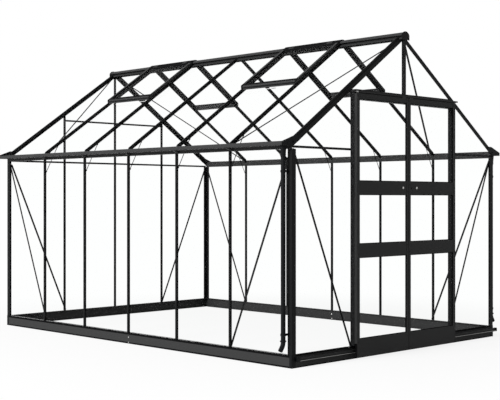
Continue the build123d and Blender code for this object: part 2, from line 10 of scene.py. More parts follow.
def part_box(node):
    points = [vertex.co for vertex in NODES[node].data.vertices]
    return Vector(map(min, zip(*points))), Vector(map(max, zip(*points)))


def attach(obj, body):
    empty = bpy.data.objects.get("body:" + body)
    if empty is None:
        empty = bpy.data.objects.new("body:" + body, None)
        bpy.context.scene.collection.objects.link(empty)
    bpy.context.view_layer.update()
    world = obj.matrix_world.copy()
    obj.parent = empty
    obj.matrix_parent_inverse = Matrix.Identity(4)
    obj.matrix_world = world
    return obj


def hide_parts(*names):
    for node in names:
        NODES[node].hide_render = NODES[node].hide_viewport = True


bl_info = {
    "name": "Glass greenhouse finish",
    "version": (1, 0, 0),
    "blender": (4, 5, 0),
    "location": "View3D > Sidebar > Greenhouse",
    "description": "Materials, fasteners, seals and studio for the sliding door greenhouse",
    "category": "Object",
}

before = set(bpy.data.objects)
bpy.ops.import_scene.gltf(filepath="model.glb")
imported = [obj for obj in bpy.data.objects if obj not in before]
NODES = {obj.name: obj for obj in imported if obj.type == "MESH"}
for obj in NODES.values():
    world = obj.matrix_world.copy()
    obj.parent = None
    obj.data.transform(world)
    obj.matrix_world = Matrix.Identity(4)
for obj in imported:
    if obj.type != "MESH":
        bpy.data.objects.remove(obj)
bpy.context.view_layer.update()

# Places read from the frame, in metres
BASE_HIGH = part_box("side_plinths")[1]
HALF_WIDTH = BASE_HIGH.x
PLINTH_TOP = BASE_HIGH.z
FRONT_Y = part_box("end_plinths")[0].y
BACK_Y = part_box("end_plinths")[1].y
CENTRE_Y = (FRONT_Y + BACK_Y) / 2
HALF_LENGTH = (BACK_Y - FRONT_Y) / 2
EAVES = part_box("right_gutter_beam")[0].z
TRACK_LOW, TRACK_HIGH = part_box("door_track")
DOOR_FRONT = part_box("right_door_stiles")[0].y
DOOR_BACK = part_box("right_door_stiles")[1].y
DOOR_MIDDLE = (DOOR_FRONT + DOOR_BACK) / 2
POST_LOW, POST_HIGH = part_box("door_posts")
HOOD_LOW, HOOD_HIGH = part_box("door_header")

# Sizes of the frame's sections that the boxes don't give
BAY = 0.62
PITCH = math.radians(35.0)
ROOF_SEAT = 0.045
APEX = EAVES + ROOF_SEAT + HALF_WIDTH * math.tan(PITCH)
STRAP_DEPTH = 0.0139
STRAP_WIDTH = 0.017
CAP_RISE = 0.012
ROOF_CAP_RISE = 0.019
CORNER_LEG = 0.042
RIDGE_HALF = 0.043
RIDGE_RISE = 0.026
RIDGE_TOP = 0.029

# Roof vents: places of the rails' plumb faces, and rises above the roof's outer face
VENT_HEAD = 0.0633
VENT_FOOT = 0.558
VENT_RAIL = 0.024
VENT_LOW = 0.0194
VENT_TOP = 0.0414
VENT_HALF = (BAY + VENT_RAIL) / 2

# Levels of the doors' rails
SKIRT_TOP = 0.154
LOWER_RAIL = (0.763, 0.865)
UPPER_RAIL = (1.235, 1.337)
TOP_RAIL = 0.040
SHOE_TOP = 0.1210

# Lines that pieces repeat on; -1 is left or front, 1 is right or back
SIDES = (-1, 1)
GABLES = ((-1, FRONT_Y), (1, BACK_Y))
WALL_LINES = [CENTRE_Y + BAY * step for step in (-2, -1, 0, 1, 2)]
GABLE_LINES = [-BAY, 0.0, BAY]
VENT_LINES = [CENTRE_Y + BAY * bay for bay in (-1.5, 1.5)]
VENTS = [(side, line) for side in SIDES for line in VENT_LINES]

SMALL_SCREW = 0.8
STILE_SCREW = 0.85
WHITE = (1.0, 1.0, 1.0, 1.0)

COATED = (
    "side_plinths", "end_plinths", "door_track", "left_gutter_beam", "right_gutter_beam",
    "ridge_beam", "door_header", "left_roof_vents", "right_roof_vents", "left_door_stiles",
    "left_door_rails", "right_door_stiles", "right_door_rails",
)
# Parts in the darker bar colour, which on the door posts is partly painted shade
MATT = (
    "corner_posts", "left_wall_bars", "right_wall_bars", "back_gable_bars", "front_gable_rafters",
    "back_gable_rafters", "left_roof_bars", "right_roof_bars", "ridge_caps", "door_posts",
    "front_king_bar", "gable_ties", "side_wall_braces", "gable_braces", "roof_braces", "knee_braces",
)
GLAZED = (
    "left_wall_glass", "right_wall_glass", "back_gable_glass", "front_gable_glass", "left_roof_glass",
    "right_roof_glass", "vent_glass", "left_door_glass", "right_door_glass",
)
MOULDED = ("downpipes", "pipe_clips", "gutter_caps")
ROLLING = ("left_door_rollers", "right_door_rollers")


# Settings

class FinishSettings(PropertyGroup):
    """Colours and surface of the coated metal, glass and plastic."""

    coat_color: FloatVectorProperty(
        name="Coat colour", description="Satin black powder coat", subtype="COLOR", size=3,
        min=0.0, max=1.0, default=(0.043, 0.0435, 0.044))
    # On the door posts the darker bar colour is partly painted shade
    bar_color: FloatVectorProperty(
        name="Bar colour", description="Deeper matt black of the glazing bars, posts and straps",
        subtype="COLOR", size=3, min=0.0, max=1.0, default=(0.0085, 0.0088, 0.0092))
    coat_roughness: FloatProperty(
        name="Coat roughness", description="Spread of the coat's reflections", default=0.45)
    glass_tint: FloatVectorProperty(
        name="Glass tint", description="Colour of light passed by a pane", subtype="COLOR", size=3,
        min=0.0, max=1.0, default=(0.995, 0.999, 0.997))
    pipe_color: FloatVectorProperty(
        name="Pipe colour", description="Black rainwater plastic", subtype="COLOR", size=3,
        min=0.0, max=1.0, default=(0.0060, 0.0066, 0.0074))
    roller_color: FloatVectorProperty(
        name="Roller colour", description="Black nylon of the rollers", subtype="COLOR", size=3,
        min=0.0, max=1.0, default=(0.014, 0.014, 0.015))
    rubber_color: FloatVectorProperty(
        name="Rubber colour", description="Black rubber of seals and beads", subtype="COLOR", size=3,
        min=0.0, max=1.0, default=(0.0040, 0.0040, 0.0045))
    steel_color: FloatVectorProperty(
        name="Steel colour", description="Stainless steel of the light screws", subtype="COLOR", size=3,
        min=0.0, max=1.0, default=(0.52, 0.52, 0.51))
    # Painted highlight: this light colour stands in for light along the track's lip
    lip_highlight_color: FloatVectorProperty(
        name="Runner colour", description="Worn bead along the track's lip", subtype="COLOR", size=3,
        min=0.0, max=1.0, default=(0.24, 0.24, 0.235))
    plug_color: FloatVectorProperty(
        name="Plug colour", description="White nylon of the hood's end plug", subtype="COLOR", size=3,
        min=0.0, max=1.0, default=(0.86, 0.86, 0.84))


class FittingSettings(PropertyGroup):
    """Sizes of the fasteners, covers and seals, in metres."""

    nut_radius: FloatProperty(
        name="Nut radius", description="Corner radius of a hexagon nut", subtype="DISTANCE",
        unit="LENGTH", default=0.0058)
    washer_radius: FloatProperty(
        name="Washer radius", description="Radius of a nut's washer", subtype="DISTANCE",
        unit="LENGTH", default=0.0072)
    screw_radius: FloatProperty(
        name="Screw radius", description="Radius of a domed screw head", subtype="DISTANCE",
        unit="LENGTH", default=0.0045)
    screw_pitch: FloatProperty(
        name="Screw pitch", description="Distance of the screws along a glazing cap",
        subtype="DISTANCE", unit="LENGTH", default=0.31)
    hood_thickness: FloatProperty(
        name="Hinge hood", description="Height of a vent's hinge hood over the ridge",
        subtype="DISTANCE", unit="LENGTH", default=0.0085)
    track_end: FloatProperty(
        name="Track end", description="Right end of the bottom track from the middle",
        subtype="DISTANCE", unit="LENGTH", default=1.2955)
    shoe_side: FloatProperty(
        name="Shoe side", description="Reach of a corner shoe along a side wall", subtype="DISTANCE",
        unit="LENGTH", default=0.024)
    shoe_front: FloatProperty(
        name="Shoe front", description="Reach of a corner shoe along a gable", subtype="DISTANCE",
        unit="LENGTH", default=0.038)
    cover_thickness: FloatProperty(
        name="Cover thickness", description="Wall of the corner shoes", subtype="DISTANCE",
        unit="LENGTH", default=0.0018)
    bead_width: FloatProperty(
        name="Bead width", description="Width of the rubber bead round a door pane",
        subtype="DISTANCE", unit="LENGTH", default=0.005)


class StageSettings(PropertyGroup):
    """Camera, lamps and floor."""

    eye: FloatVectorProperty(
        name="Camera", description="Camera place from the middle of the walls", subtype="TRANSLATION",
        unit="LENGTH", size=3, default=(-6.7581, -7.1553, 1.2024))
    heading: FloatProperty(
        name="Heading", description="Camera heading from +Y towards +X", subtype="ANGLE",
        default=0.7893)
    lens_pixels: FloatProperty(
        name="Focal length", description="Focal length in pixels of the picture", default=1075.9)
    centre_x: FloatProperty(
        name="Axis column", description="Picture column of the optical axis", default=274.47)
    centre_y: FloatProperty(
        name="Axis row", description="Picture row of the optical axis", default=198.85)
    picture_width: FloatProperty(
        name="Picture width", description="Width of the picture in pixels", default=500.0)
    picture_height: FloatProperty(
        name="Picture height", description="Height of the picture in pixels", default=400.0)
    key_power: FloatProperty(
        name="Key power", description="Power of the lamp on the left", subtype="POWER", default=2400.0)
    ambient: FloatProperty(
        name="Ambient", description="World light on the object", default=0.17)
    floor_white: FloatProperty(
        name="Floor white", description="Share of plain white in the floor near the object",
        default=0.75)
    floor_lit: FloatProperty(
        name="Lit floor", description="Brightness of the lamps' light on the open floor",
        default=0.6)


# Shader helpers

def add_node(tree, kind, inputs, **settings):
    """New node with its settings, its inputs joined to sockets or given plain values."""
    node = tree.nodes.new(kind)
    for name, value in settings.items():
        setattr(node, name, value)
    for key, value in inputs.items():
        if isinstance(value, NodeSocket):
            tree.links.new(value, node.inputs[key])
        else:
            node.inputs[key].default_value = value
    return node


def worked_out(tree, operation, *values):
    """Result of a Math node from sockets or plain numbers."""
    return add_node(tree, "ShaderNodeMath", dict(enumerate(values)), operation=operation).outputs["Value"]


def mixed_shaders(tree, share, first, second):
    """The first shader where the share is 0 and the second where it is 1."""
    return add_node(tree, "ShaderNodeMixShader", {"Fac": share, 1: first, 2: second}).outputs["Shader"]


def mixed_colours(tree, share, first, second):
    """The first colour where the share is 0 and the second where it is 1."""
    mix = add_node(
        tree, "ShaderNodeMix", {"Factor": share, "A": first, "B": second}, data_type="RGBA")
    return mix.outputs["Result"]


def any_ray(tree, kinds):
    """1 where a ray is of any of the kinds, else 0."""
    rays = add_node(tree, "ShaderNodeLightPath", {})
    found = rays.outputs[kinds[0]]
    for kind in kinds[1:]:
        found = worked_out(tree, "MAXIMUM", found, rays.outputs[kind])
    return found


def seen_rays(tree):
    """1 for what is seen directly, in gloss or through glass, 0 for light on surfaces."""
    return any_ray(tree, ("Is Camera Ray", "Is Glossy Ray", "Is Transmission Ray"))


def new_group(name, inputs, outputs):
    """Node group with named sockets: its input and output nodes and object coordinates."""
    group = bpy.data.node_groups.new(name, "ShaderNodeTree")
    for direction, sockets in (("INPUT", inputs), ("OUTPUT", outputs)):
        for socket, kind in sockets:
            group.interface.new_socket(socket, in_out=direction, socket_type=f"NodeSocket{kind}")
    given = group.nodes.new("NodeGroupInput").outputs
    made = group.nodes.new("NodeGroupOutput").inputs
    place = group.nodes.new("ShaderNodeTexCoord").outputs["Object"]
    return group, given, made, place


def coat_texture_group():
    """Fine orange peel, broad tone change and dust of a sprayed or moulded surface."""
    if "coat_texture" in bpy.data.node_groups:
        return bpy.data.node_groups["coat_texture"]
    group, given, made, place = new_group(
        "coat_texture",
        (("Colour", "Color"), ("Dust Colour", "Color"), ("Dust", "Float"), ("Roughness", "Float"),
         ("Grain Scale", "Float"), ("Grain Depth", "Float")),
        (("Colour", "Color"), ("Roughness", "Float"), ("Normal", "Vector")))
    grain = add_node(group, "ShaderNodeTexNoise", {
        "Vector": place, "Scale": given["Grain Scale"], "Detail": 2.0})
    bump = add_node(group, "ShaderNodeBump", {
        "Distance": 0.0004, "Strength": given["Grain Depth"], "Height": grain.outputs["Fac"]})
    broad = add_node(group, "ShaderNodeTexNoise", {"Vector": place, "Scale": 3.5, "Detail": 4.0})
    tone = add_node(group, "ShaderNodeMapRange", {
        "From Min": 0.35, "From Max": 0.75, "Value": broad.outputs["Fac"]})
    dust = worked_out(group, "MULTIPLY", tone.outputs["Result"], given["Dust"])
    colour = mixed_colours(group, dust, given["Colour"], given["Dust Colour"])
    roughness = worked_out(group, "MULTIPLY_ADD", broad.outputs["Fac"], 0.12, given["Roughness"])
    group.links.new(colour, made["Colour"])
    group.links.new(roughness, made["Roughness"])
    group.links.new(bump.outputs["Normal"], made["Normal"])
    return group


def pane_surface_group():
    """Faint waviness and water marks of a float glass pane."""
    if "pane_surface" in bpy.data.node_groups:
        return bpy.data.node_groups["pane_surface"]
    group, given, made, place = new_group(
        "pane_surface",
        (("Clean Colour", "Color"), ("Mark Colour", "Color"), ("Waviness", "Float")),
        (("Colour", "Color"), ("Normal", "Vector")))
    wave = add_node(group, "ShaderNodeTexNoise", {"Vector": place, "Scale": 2.2})
    bump = add_node(group, "ShaderNodeBump", {
        "Distance": 0.0006, "Strength": given["Waviness"], "Height": wave.outputs["Fac"]})
    marks = add_node(group, "ShaderNodeTexVoronoi", {"Vector": place, "Scale": 60.0})
    spots = add_node(group, "ShaderNodeMapRange", {
        "From Min": 0.10, "From Max": 0.04, "Value": marks.outputs["Distance"]})
    colour = mixed_colours(group, spots.outputs["Result"], given["Clean Colour"], given["Mark Colour"])
    group.links.new(colour, made["Colour"])
    group.links.new(bump.outputs["Normal"], made["Normal"])
    return group


def new_material(name):
    """Material with an empty node tree."""
    material = bpy.data.materials.new(name)
    material.use_nodes = True
    material.node_tree.nodes.clear()
    return material, material.node_tree


def textured_material(
        name, colour, dust_colour, dust, roughness, grain_scale, grain_depth, specular=0.5, metallic=0.0):
    """Opaque material that takes its surface from the shared texture group."""
    if name in bpy.data.materials:
        return bpy.data.materials[name]
    material, tree = new_material(name)
    texture = add_node(tree, "ShaderNodeGroup", {
        "Colour": (*colour, 1.0), "Dust Colour": (*dust_colour, 1.0), "Dust": dust,
        "Roughness": roughness, "Grain Scale": grain_scale, "Grain Depth": grain_depth,
    }, node_tree=coat_texture_group())
    shader = add_node(tree, "ShaderNodeBsdfPrincipled", {
        "Base Color": texture.outputs["Colour"], "Roughness": texture.outputs["Roughness"],
        "Normal": texture.outputs["Normal"], "Specular IOR Level": specular, "Metallic": metallic})
    add_node(tree, "ShaderNodeOutputMaterial", {"Surface": shader.outputs["BSDF"]})
    return material


# Finishes

def coated_metal(finish):
    """Satin powder coat of the base, beams, doors and vents."""
    return textured_material(
        "black_powder_coat", finish.coat_color, dust_colour=(0.060, 0.060, 0.058), dust=0.2,
        roughness=finish.coat_roughness, grain_scale=900.0, grain_depth=0.25, specular=0.06)


def matt_metal(finish):
    """Deeper matt coat of the posts, bars and straps; on the door posts its darker colour is also painted
    shade.
    """
    return textured_material(
        "matt_black_bars", finish.bar_color, dust_colour=(0.030, 0.030, 0.030), dust=0.12,
        roughness=0.5, grain_scale=1100.0, grain_depth=0.3, specular=0.08)


def hood_and_shade_coat():
    """Dull coat of the vents' hoods, also used as painted shade for the dark strips on the vents' rails
    and the base's top flange, with no gloss at a low angle.
    """
    return textured_material(
        "matt_hood_and_shade_coat", (0.012, 0.012, 0.0125), dust_colour=(0.020, 0.020, 0.020), dust=0.3,
        roughness=0.75, grain_scale=1100.0, grain_depth=0.3, specular=0.0)


def black_zinc():
    """Dark plated steel of the nuts, stays and dark screws."""
    return textured_material(
        "black_zinc_steel", (0.012, 0.012, 0.013), dust_colour=(0.03, 0.03, 0.03), dust=0.3,
        roughness=0.34, grain_scale=700.0, grain_depth=0.2, specular=0.12)


def pipe_plastic(finish):
    """Moulded plastic of the rainwater pipes, end plates and covers."""
    return textured_material(
        "black_pipe_plastic", finish.pipe_color, dust_colour=(0.014, 0.014, 0.015), dust=0.2,
        roughness=0.4, grain_scale=300.0, grain_depth=0.1, specular=0.07)


def roller_nylon(finish):
    """Nylon of the doors' rollers and guides."""
    return textured_material(
        "black_roller_nylon", finish.roller_color, dust_colour=(0.03, 0.03, 0.03), dust=0.3,
        roughness=0.4, grain_scale=500.0, grain_depth=0.15)


def seal_rubber(finish):
    """Rubber of the seals, beads, brushes and door end caps, and of the base's strips of painted shade."""
    return textured_material(
        "black_seal_rubber", finish.rubber_color, dust_colour=(0.010, 0.010, 0.010), dust=0.2,
        roughness=0.7, grain_scale=1400.0, grain_depth=0.4, specular=0.04)


def plug_nylon(finish):
    """White nylon of the plug in the hood's end."""
    return textured_material(
        "white_plug_nylon", finish.plug_color, dust_colour=(0.70, 0.69, 0.66), dust=0.25,
        roughness=0.45, grain_scale=500.0, grain_depth=0.15)


def stainless_steel(finish):
    """Brushed steel of the light screws and the doors' knobs."""
    return textured_material(
        "brushed_stainless", finish.steel_color, dust_colour=(0.40, 0.39, 0.37), dust=0.3,
        roughness=0.26, grain_scale=1600.0, grain_depth=0.3, metallic=1.0)


def painted_highlight_metal(finish):
    """Light bare metal of the bead along the track's lip: a painted highlight for the lit edge of the lip.
    """
    return textured_material(
        "painted_highlight_metal", finish.lip_highlight_color, dust_colour=(0.12, 0.12, 0.12), dust=0.4,
        roughness=0.38, grain_scale=500.0, grain_depth=0.3, metallic=1.0)


def clear_glass(finish):
    """Clear pane glass that lets the lamps' light through."""
    material, tree = new_material("clear_pane_glass")
    surface = add_node(tree, "ShaderNodeGroup", {
        "Clean Colour": (*finish.glass_tint, 1.0), "Mark Colour": (0.975, 0.98, 0.976, 1.0),
        "Waviness": 0.05,
    }, node_tree=pane_surface_group())
    pane = add_node(tree, "ShaderNodeBsdfPrincipled", {
        "Base Color": surface.outputs["Colour"], "Normal": surface.outputs["Normal"],
        "Roughness": 0.0, "Transmission Weight": 1.0, "IOR": 1.02})
    passed = add_node(tree, "ShaderNodeBsdfTransparent", {})
    lighting = any_ray(tree, ("Is Shadow Ray", "Is Reflection Ray"))
    mix = mixed_shaders(tree, lighting, pane.outputs["BSDF"], passed.outputs["BSDF"])
    add_node(tree, "ShaderNodeOutputMaterial", {"Surface": mix})
    return material


def dress(names, material):
    """Give CAD nodes one material."""
    for name in names:
        mesh = NODES[name].data
        mesh.materials.clear()
        mesh.materials.append(material)


# Places on the roof

def roof_z(x, depth=0.0):
    """Height of the plane a depth below the roof's outer face."""
    return APEX - abs(x) * math.tan(PITCH) - depth / math.cos(PITCH)


def slope_normal(side):
    """Outward normal of the left (-1) or right (+1) roof slope."""
    return Vector((side * math.sin(PITCH), 0.0, math.cos(PITCH)))


def slope_place(side, x, line, rise):
    """Point at a rise above the roof's outer face at x."""
    return Vector((side * x, line, roof_z(x))) + slope_normal(side) * rise


def slope_matrix(side, x, line, rise):
    """Frame at the point with this x and rise: X down the slope, Y along the ridge, Z outward."""
    down = Vector((side * math.cos(PITCH), 0.0, -math.sin(PITCH)))
    out = slope_normal(side)
    along = out.cross(down)
    turn = Matrix((down, along, out)).transposed().to_4x4()
    return Matrix.Translation(slope_place(side, x - rise * math.sin(PITCH), line, rise)) @ turn


# Mesh helpers

def facing(place, normal):
    """Matrix that puts local Z along a normal at a place."""
    turn = Vector(normal).to_track_quat("Z", "Y").to_matrix().to_4x4()
    return Matrix.Translation(Vector(place)) @ turn


def along_track(place):
    """Matrix that puts local Z along the track at a place."""
    return Matrix.Translation(place) @ Matrix.Rotation(math.pi / 2, 4, "Y")


def turned_rings(shape, matrix, profile, segments):
    """Rings of vertices about local Z, one for each (radius, height) point."""
    rings = []
    for radius, height in profile:
        ring = []
        for step in range(segments):
            angle = 2 * math.pi * step / segments
            spot = Vector((radius * math.cos(angle), radius * math.sin(angle), height))
            ring.append(shape.verts.new(matrix @ spot))
        rings.append(ring)
    return rings


def skin(shape, low, high):
    """Faces between two rings of equally many vertices."""
    count = len(low)
    for step in range(count):
        after = (step + 1) % count
        shape.faces.new((low[step], low[after], high[after], high[step]))


def close_ends(shape, first, last):
    """End faces on the first and the last ring."""
    shape.faces.new(list(reversed(first)))
    shape.faces.new(last)


def turned(shape, matrix, profile, segments):
    """Turned form about local Z from (radius, height) points, closed at both ends."""
    rings = turned_rings(shape, matrix, profile, segments)
    for low, high in zip(rings[:-1], rings[1:]):
        skin(shape, low, high)
    close_ends(shape, rings[0], rings[-1])


def tube_ring(shape, matrix, profile, segments):
    """Turned ring from a closed (radius, height) outline."""
    rings = turned_rings(shape, matrix, profile, segments)
    for low, high in zip(rings, rings[1:] + rings[:1]):
        skin(shape, low, high)


def extruded(shape, first, last):
    """Closed form between two outlines of equally many points."""
    first = [shape.verts.new(spot) for spot in first]
    last = [shape.verts.new(spot) for spot in last]
    skin(shape, first, last)
    close_ends(shape, first, last)


def prism(shape, outline, start, end):
    """Prism of an X-Z outline between two Y values."""
    extruded(shape, [(x, start, z) for x, z in outline], [(x, end, z) for x, z in outline])


def eased_block(shape, first, second, ease, matrix=None):
    """Block between two opposite corners, its edges eased."""
    low = Vector(map(min, first, second))
    high = Vector(map(max, first, second))
    made = bmesh.new()
    bmesh.ops.create_cube(made, size=1.0)
    for vert in made.verts:
        for axis in range(3):
            vert.co[axis] = (low[axis] + high[axis]) / 2 + vert.co[axis] * (high[axis] - low[axis])
    bmesh.ops.bevel(made, geom=list(made.edges), offset=ease, segments=2, profile=0.5, affect="EDGES")
    if matrix is not None:
        bmesh.ops.transform(made, matrix=matrix, verts=list(made.verts))
    copy = bpy.data.meshes.new("eased_block")
    made.to_mesh(copy)
    made.free()
    shape.from_mesh(copy)
    bpy.data.meshes.remove(copy)


def border(left, right, low, high, width):
    """Four strips that frame an opening: left, right, low and high of each."""
    return (
        (left, right, low, low + width),
        (left, right, high - width, high),
        (left, left + width, low + width, high - width),
        (right - width, right, low + width, high - width),
    )


def add_piece(name, shape, material, body):
    """Finish a mesh as a piece of the model that rides on a body."""
    bmesh.ops.recalc_face_normals(shape, faces=list(shape.faces))
    mesh = bpy.data.meshes.new(name)
    shape.to_mesh(mesh)
    shape.free()
    mesh.materials.append(material)
    piece = bpy.data.objects.new(name, mesh)
    bpy.context.scene.collection.objects.link(piece)
    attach(piece, body)
    return piece


def add_door_piece(side, name, shape, material):
    """Finish a mesh as a piece of the left or the right door."""
    add_piece(f"{side}_door_{name}", shape, material, f"{side}_door")


def add_nut(shape, place, normal, sizes):
    """Hexagon nut on its washer with the rounded end of the bolt."""
    matrix = facing(place, normal)
    washer = sizes.washer_radius
    nut = sizes.nut_radius
    stud = nut * 0.52
    turned(shape, matrix, [(washer, 0.0), (washer, 0.0008), (washer * 0.93, 0.0012)], segments=20)
    turned(shape, matrix, [(nut, 0.0012), (nut, 0.0050), (nut * 0.88, 0.0058)], segments=6)
    turned(shape, matrix, [
        (stud, 0.0058), (stud, 0.0078), (stud * 0.75, 0.0088), (stud * 0.3, 0.0092)], segments=12)


def add_screw(shape, place, normal, radius):
    """Domed screw head with a shallow socket."""
    turned(shape, facing(place, normal), [
        (radius, 0.0), (radius, radius * 0.15), (radius * 0.86, radius * 0.38),
        (radius * 0.58, radius * 0.52), (radius * 0.44, radius * 0.54), (radius * 0.40, radius * 0.30),
    ], segments=16)


# Fasteners of the frame

def side_brace_spots():
    """Ends of the diagonals in the end bays of the side walls, with their normals."""
    x = HALF_WIDTH - STRAP_DEPTH
    head_y = HALF_LENGTH - CORNER_LEG + 0.012
    head_z = EAVES - 0.024
    foot_z = PLINTH_TOP + 0.012
    spots = []
    for side in SIDES:
        for end in SIDES:
            spots.append(((side * x, CENTRE_Y + end * head_y, head_z), (-side, 0, 0)))
            spots.append(((side * x, CENTRE_Y + end * 2 * BAY, foot_z), (-side, 0, 0)))
    return spots


def gable_brace_spots():
    """Ends of the gable diagonals, with their normals."""
    y = HALF_LENGTH - STRAP_DEPTH
    head_x = HALF_WIDTH - CORNER_LEG
    head_z = EAVES - 0.036
    foot_z = PLINTH_TOP + 0.012
    post_foot = 0.622
    spots = []
    for side in SIDES:
        for end, foot_x in ((-1, post_foot), (1, BAY)):
            normal = (0, -end, 0)
            spots.append(((side * head_x, CENTRE_Y + end * y, head_z), normal))
            spots.append(((side * foot_x, CENTRE_Y + end * y, foot_z), normal))
    return spots


def tie_spots():
    """Bolts of the flat ties in both gables, with their normals."""
    back_y = CENTRE_Y + HALF_LENGTH - STRAP_DEPTH
    front_y = CENTRE_Y - HALF_LENGTH + STRAP_DEPTH
    corner = HALF_WIDTH - CORNER_LEG + 0.006
    post = 0.628
    back_z = EAVES - 0.002 + STRAP_WIDTH / 2
    front_z = EAVES + 0.008 + STRAP_WIDTH / 2
    upper_z = roof_z(0.624, 0.029) - 0.030 - STRAP_WIDTH / 2
    spots = [((x, back_y, back_z), (0, -1, 0)) for x in (-corner, *GABLE_LINES, corner)]
    spots += [((x, back_y, upper_z), (0, -1, 0)) for x in GABLE_LINES]
    spots += [((side * x, front_y, front_z), (0, 1, 0)) for side in SIDES for x in (post, corner)]
    return spots


def roof_brace_spots():
    """Ends of the diagonals under the roof, with their normals."""
    head_x = RIDGE_HALF * math.cos(PITCH)
    head_y = HALF_LENGTH - 0.0175
    foot_x = HALF_WIDTH - 0.048
    spots = []
    for side in SIDES:
        normal = -slope_normal(side)
        for end in SIDES:
            for x, y in ((head_x, head_y), (foot_x, 2 * BAY)):
                spots.append(((side * x, CENTRE_Y + end * y, roof_z(x, STRAP_DEPTH)), normal))
    return spots


def add_strap_nuts(sizes, material):
    """Nuts on both ends of every diagonal and on the flat ties."""
    shape = bmesh.new()
    for place, normal in side_brace_spots() + gable_brace_spots() + tie_spots() + roof_brace_spots():
        add_nut(shape, place, normal, sizes)
    add_piece("strap_nuts", shape, material, "house")


def add_knee_lugs(material):
    """Flattened lugs with nuts at both ends of every knee strap."""
    shape = bmesh.new()
    strap_face = 0.0103
    bar_depth = 0.0101
    roof_x = HALF_WIDTH - 0.128
    wall_spot = (HALF_WIDTH - bar_depth, EAVES - 0.108)
    roof_spot = (roof_x, roof_z(roof_x, bar_depth))
    for line in WALL_LINES:
        for side in SIDES:
            for x, z in (wall_spot, roof_spot):
                matrix = facing((side * x, line - strap_face, z), (0, -1, 0))
                turned(shape, matrix, [(0.0065, 0.0), (0.0065, 0.0008), (0.0058, 0.0012)], segments=16)
                turned(shape, matrix, [(0.0042, 0.0012), (0.0042, 0.0040), (0.0036, 0.0046)], segments=6)
    add_piece("knee_lugs", shape, material, "house")


def add_cap_screws(sizes, material):
    """Domed screws along the glazing caps of the walls, the back gable and the roof."""
    shape = bmesh.new()
    radius = sizes.screw_radius
    lowest = PLINTH_TOP + 0.08
    for height in [lowest + sizes.screw_pitch * step for step in range(5)]:
        for side in SIDES:
            for line in WALL_LINES:
                add_screw(shape, (side * (HALF_WIDTH + CAP_RISE), line, height), (side, 0, 0), radius)
        for line in GABLE_LINES:
            add_screw(shape, (line, BACK_Y + CAP_RISE, height), (0, 1, 0), radius)
    highest_x = 0.20
    rafter = HALF_LENGTH - 0.017
    for side in SIDES:
        for step in range(4):
            x = highest_x + step * sizes.screw_pitch * math.cos(PITCH)
            for line in (CENTRE_Y - rafter, *WALL_LINES, CENTRE_Y + rafter):
                beside_vent = any(abs(line - vent) < BAY * 0.6 for vent in VENT_LINES)
                if x > VENT_FOOT or not beside_vent:
                    place = slope_place(side, x, line, ROOF_CAP_RISE)
                    add_screw(shape, place, slope_normal(side), radius)
    add_piece("cap_screws", shape, material, "house")


def add_ridge_screws(sizes, material):
    """Screws of the ridge end plates."""
    shape = bmesh.new()
    low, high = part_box("ridge_caps")
    for y, normal in ((low.y, -1), (high.y, 1)):
        for x in (-0.026, 0.026):
            add_screw(shape, (x, y, APEX - 0.008), (0, normal, 0), sizes.screw_radius)
    add_piece("ridge_screws", shape, material, "house")


def add_header_screws(sizes, material):
    """Screws through the header's web and into the king bar's foot."""
    shape = bmesh.new()
    web_y = FRONT_Y - 0.0365
    web_z = HOOD_HIGH.z - 0.048
    king_y = FRONT_Y - 0.024
    king_z = HOOD_HIGH.z + 0.016
    for x in (-0.600, -0.300, 0.0, 0.300, 0.600):
        add_screw(shape, (x, web_y, web_z), (0, 1, 0), sizes.screw_radius)
    for x in (-0.005, 0.005):
        add_screw(shape, (x, king_y, king_z), (0, -1, 0), sizes.screw_radius * SMALL_SCREW)
    add_piece("header_screws", shape, material, "house")


# Base, posts and track

def add_corner_shoes(sizes, material):
    """Moulded covers round the mitred corners of the base."""
    shape = bmesh.new()
    wall = sizes.cover_thickness
    foot = 0.0005
    top = PLINTH_TOP + 0.002
    for side in SIDES:
        face = side * HALF_WIDTH
        outer = side * (HALF_WIDTH + wall)
        inner = side * (HALF_WIDTH - sizes.shoe_front)
        for end, y in GABLES:
            proud = y + end * wall
            eased_block(shape, (inner, y, foot), (outer, proud, top), ease=0.0006)
            eased_block(shape, (face, proud, foot), (outer, y - end * sizes.shoe_side, top), ease=0.0006)
    add_piece("corner_shoes", shape, material, "house")


def add_base_shade_strips(material):
    """Dark rubber strips along the foot of the base and along its top edge: painted shade for the shaded
    bottom and top edges of the base.
    """
    shape = bmesh.new()
    foot = 0.0003
    top = PLINTH_TOP - 0.0004
    proud = 0.0015
    start = FRONT_Y + 0.025
    end = BACK_Y - 0.025
    # The top edge's bead is flush with its strip on the left and proud of it on the right
    for side, bead_low, bead_high in ((-1, 0.0008, proud), (1, 0.0, proud + 0.0008)):
        face = side * HALF_WIDTH
        outer = side * (HALF_WIDTH + proud)
        eased_block(shape, (face, start, foot), (outer, end, 0.0125), ease=0.0006)
        eased_block(shape, (face, start, top - 0.0178), (outer, end, top), ease=0.0006)
        eased_block(
            shape, (side * (HALF_WIDTH + bead_low), start, top - 0.0045),
            (side * (HALF_WIDTH + bead_high), end, top), ease=0.0004)
    corner = HALF_WIDTH - 0.039
    for end, y in GABLES:
        outer = y + end * proud
        eased_block(shape, (-corner, y, foot), (corner, outer, 0.0075), ease=0.0006)
        eased_block(shape, (-corner, y, top - 0.0090), (corner, outer, top), ease=0.0006)
    add_piece("base_shade_strips", shape, material, "house")


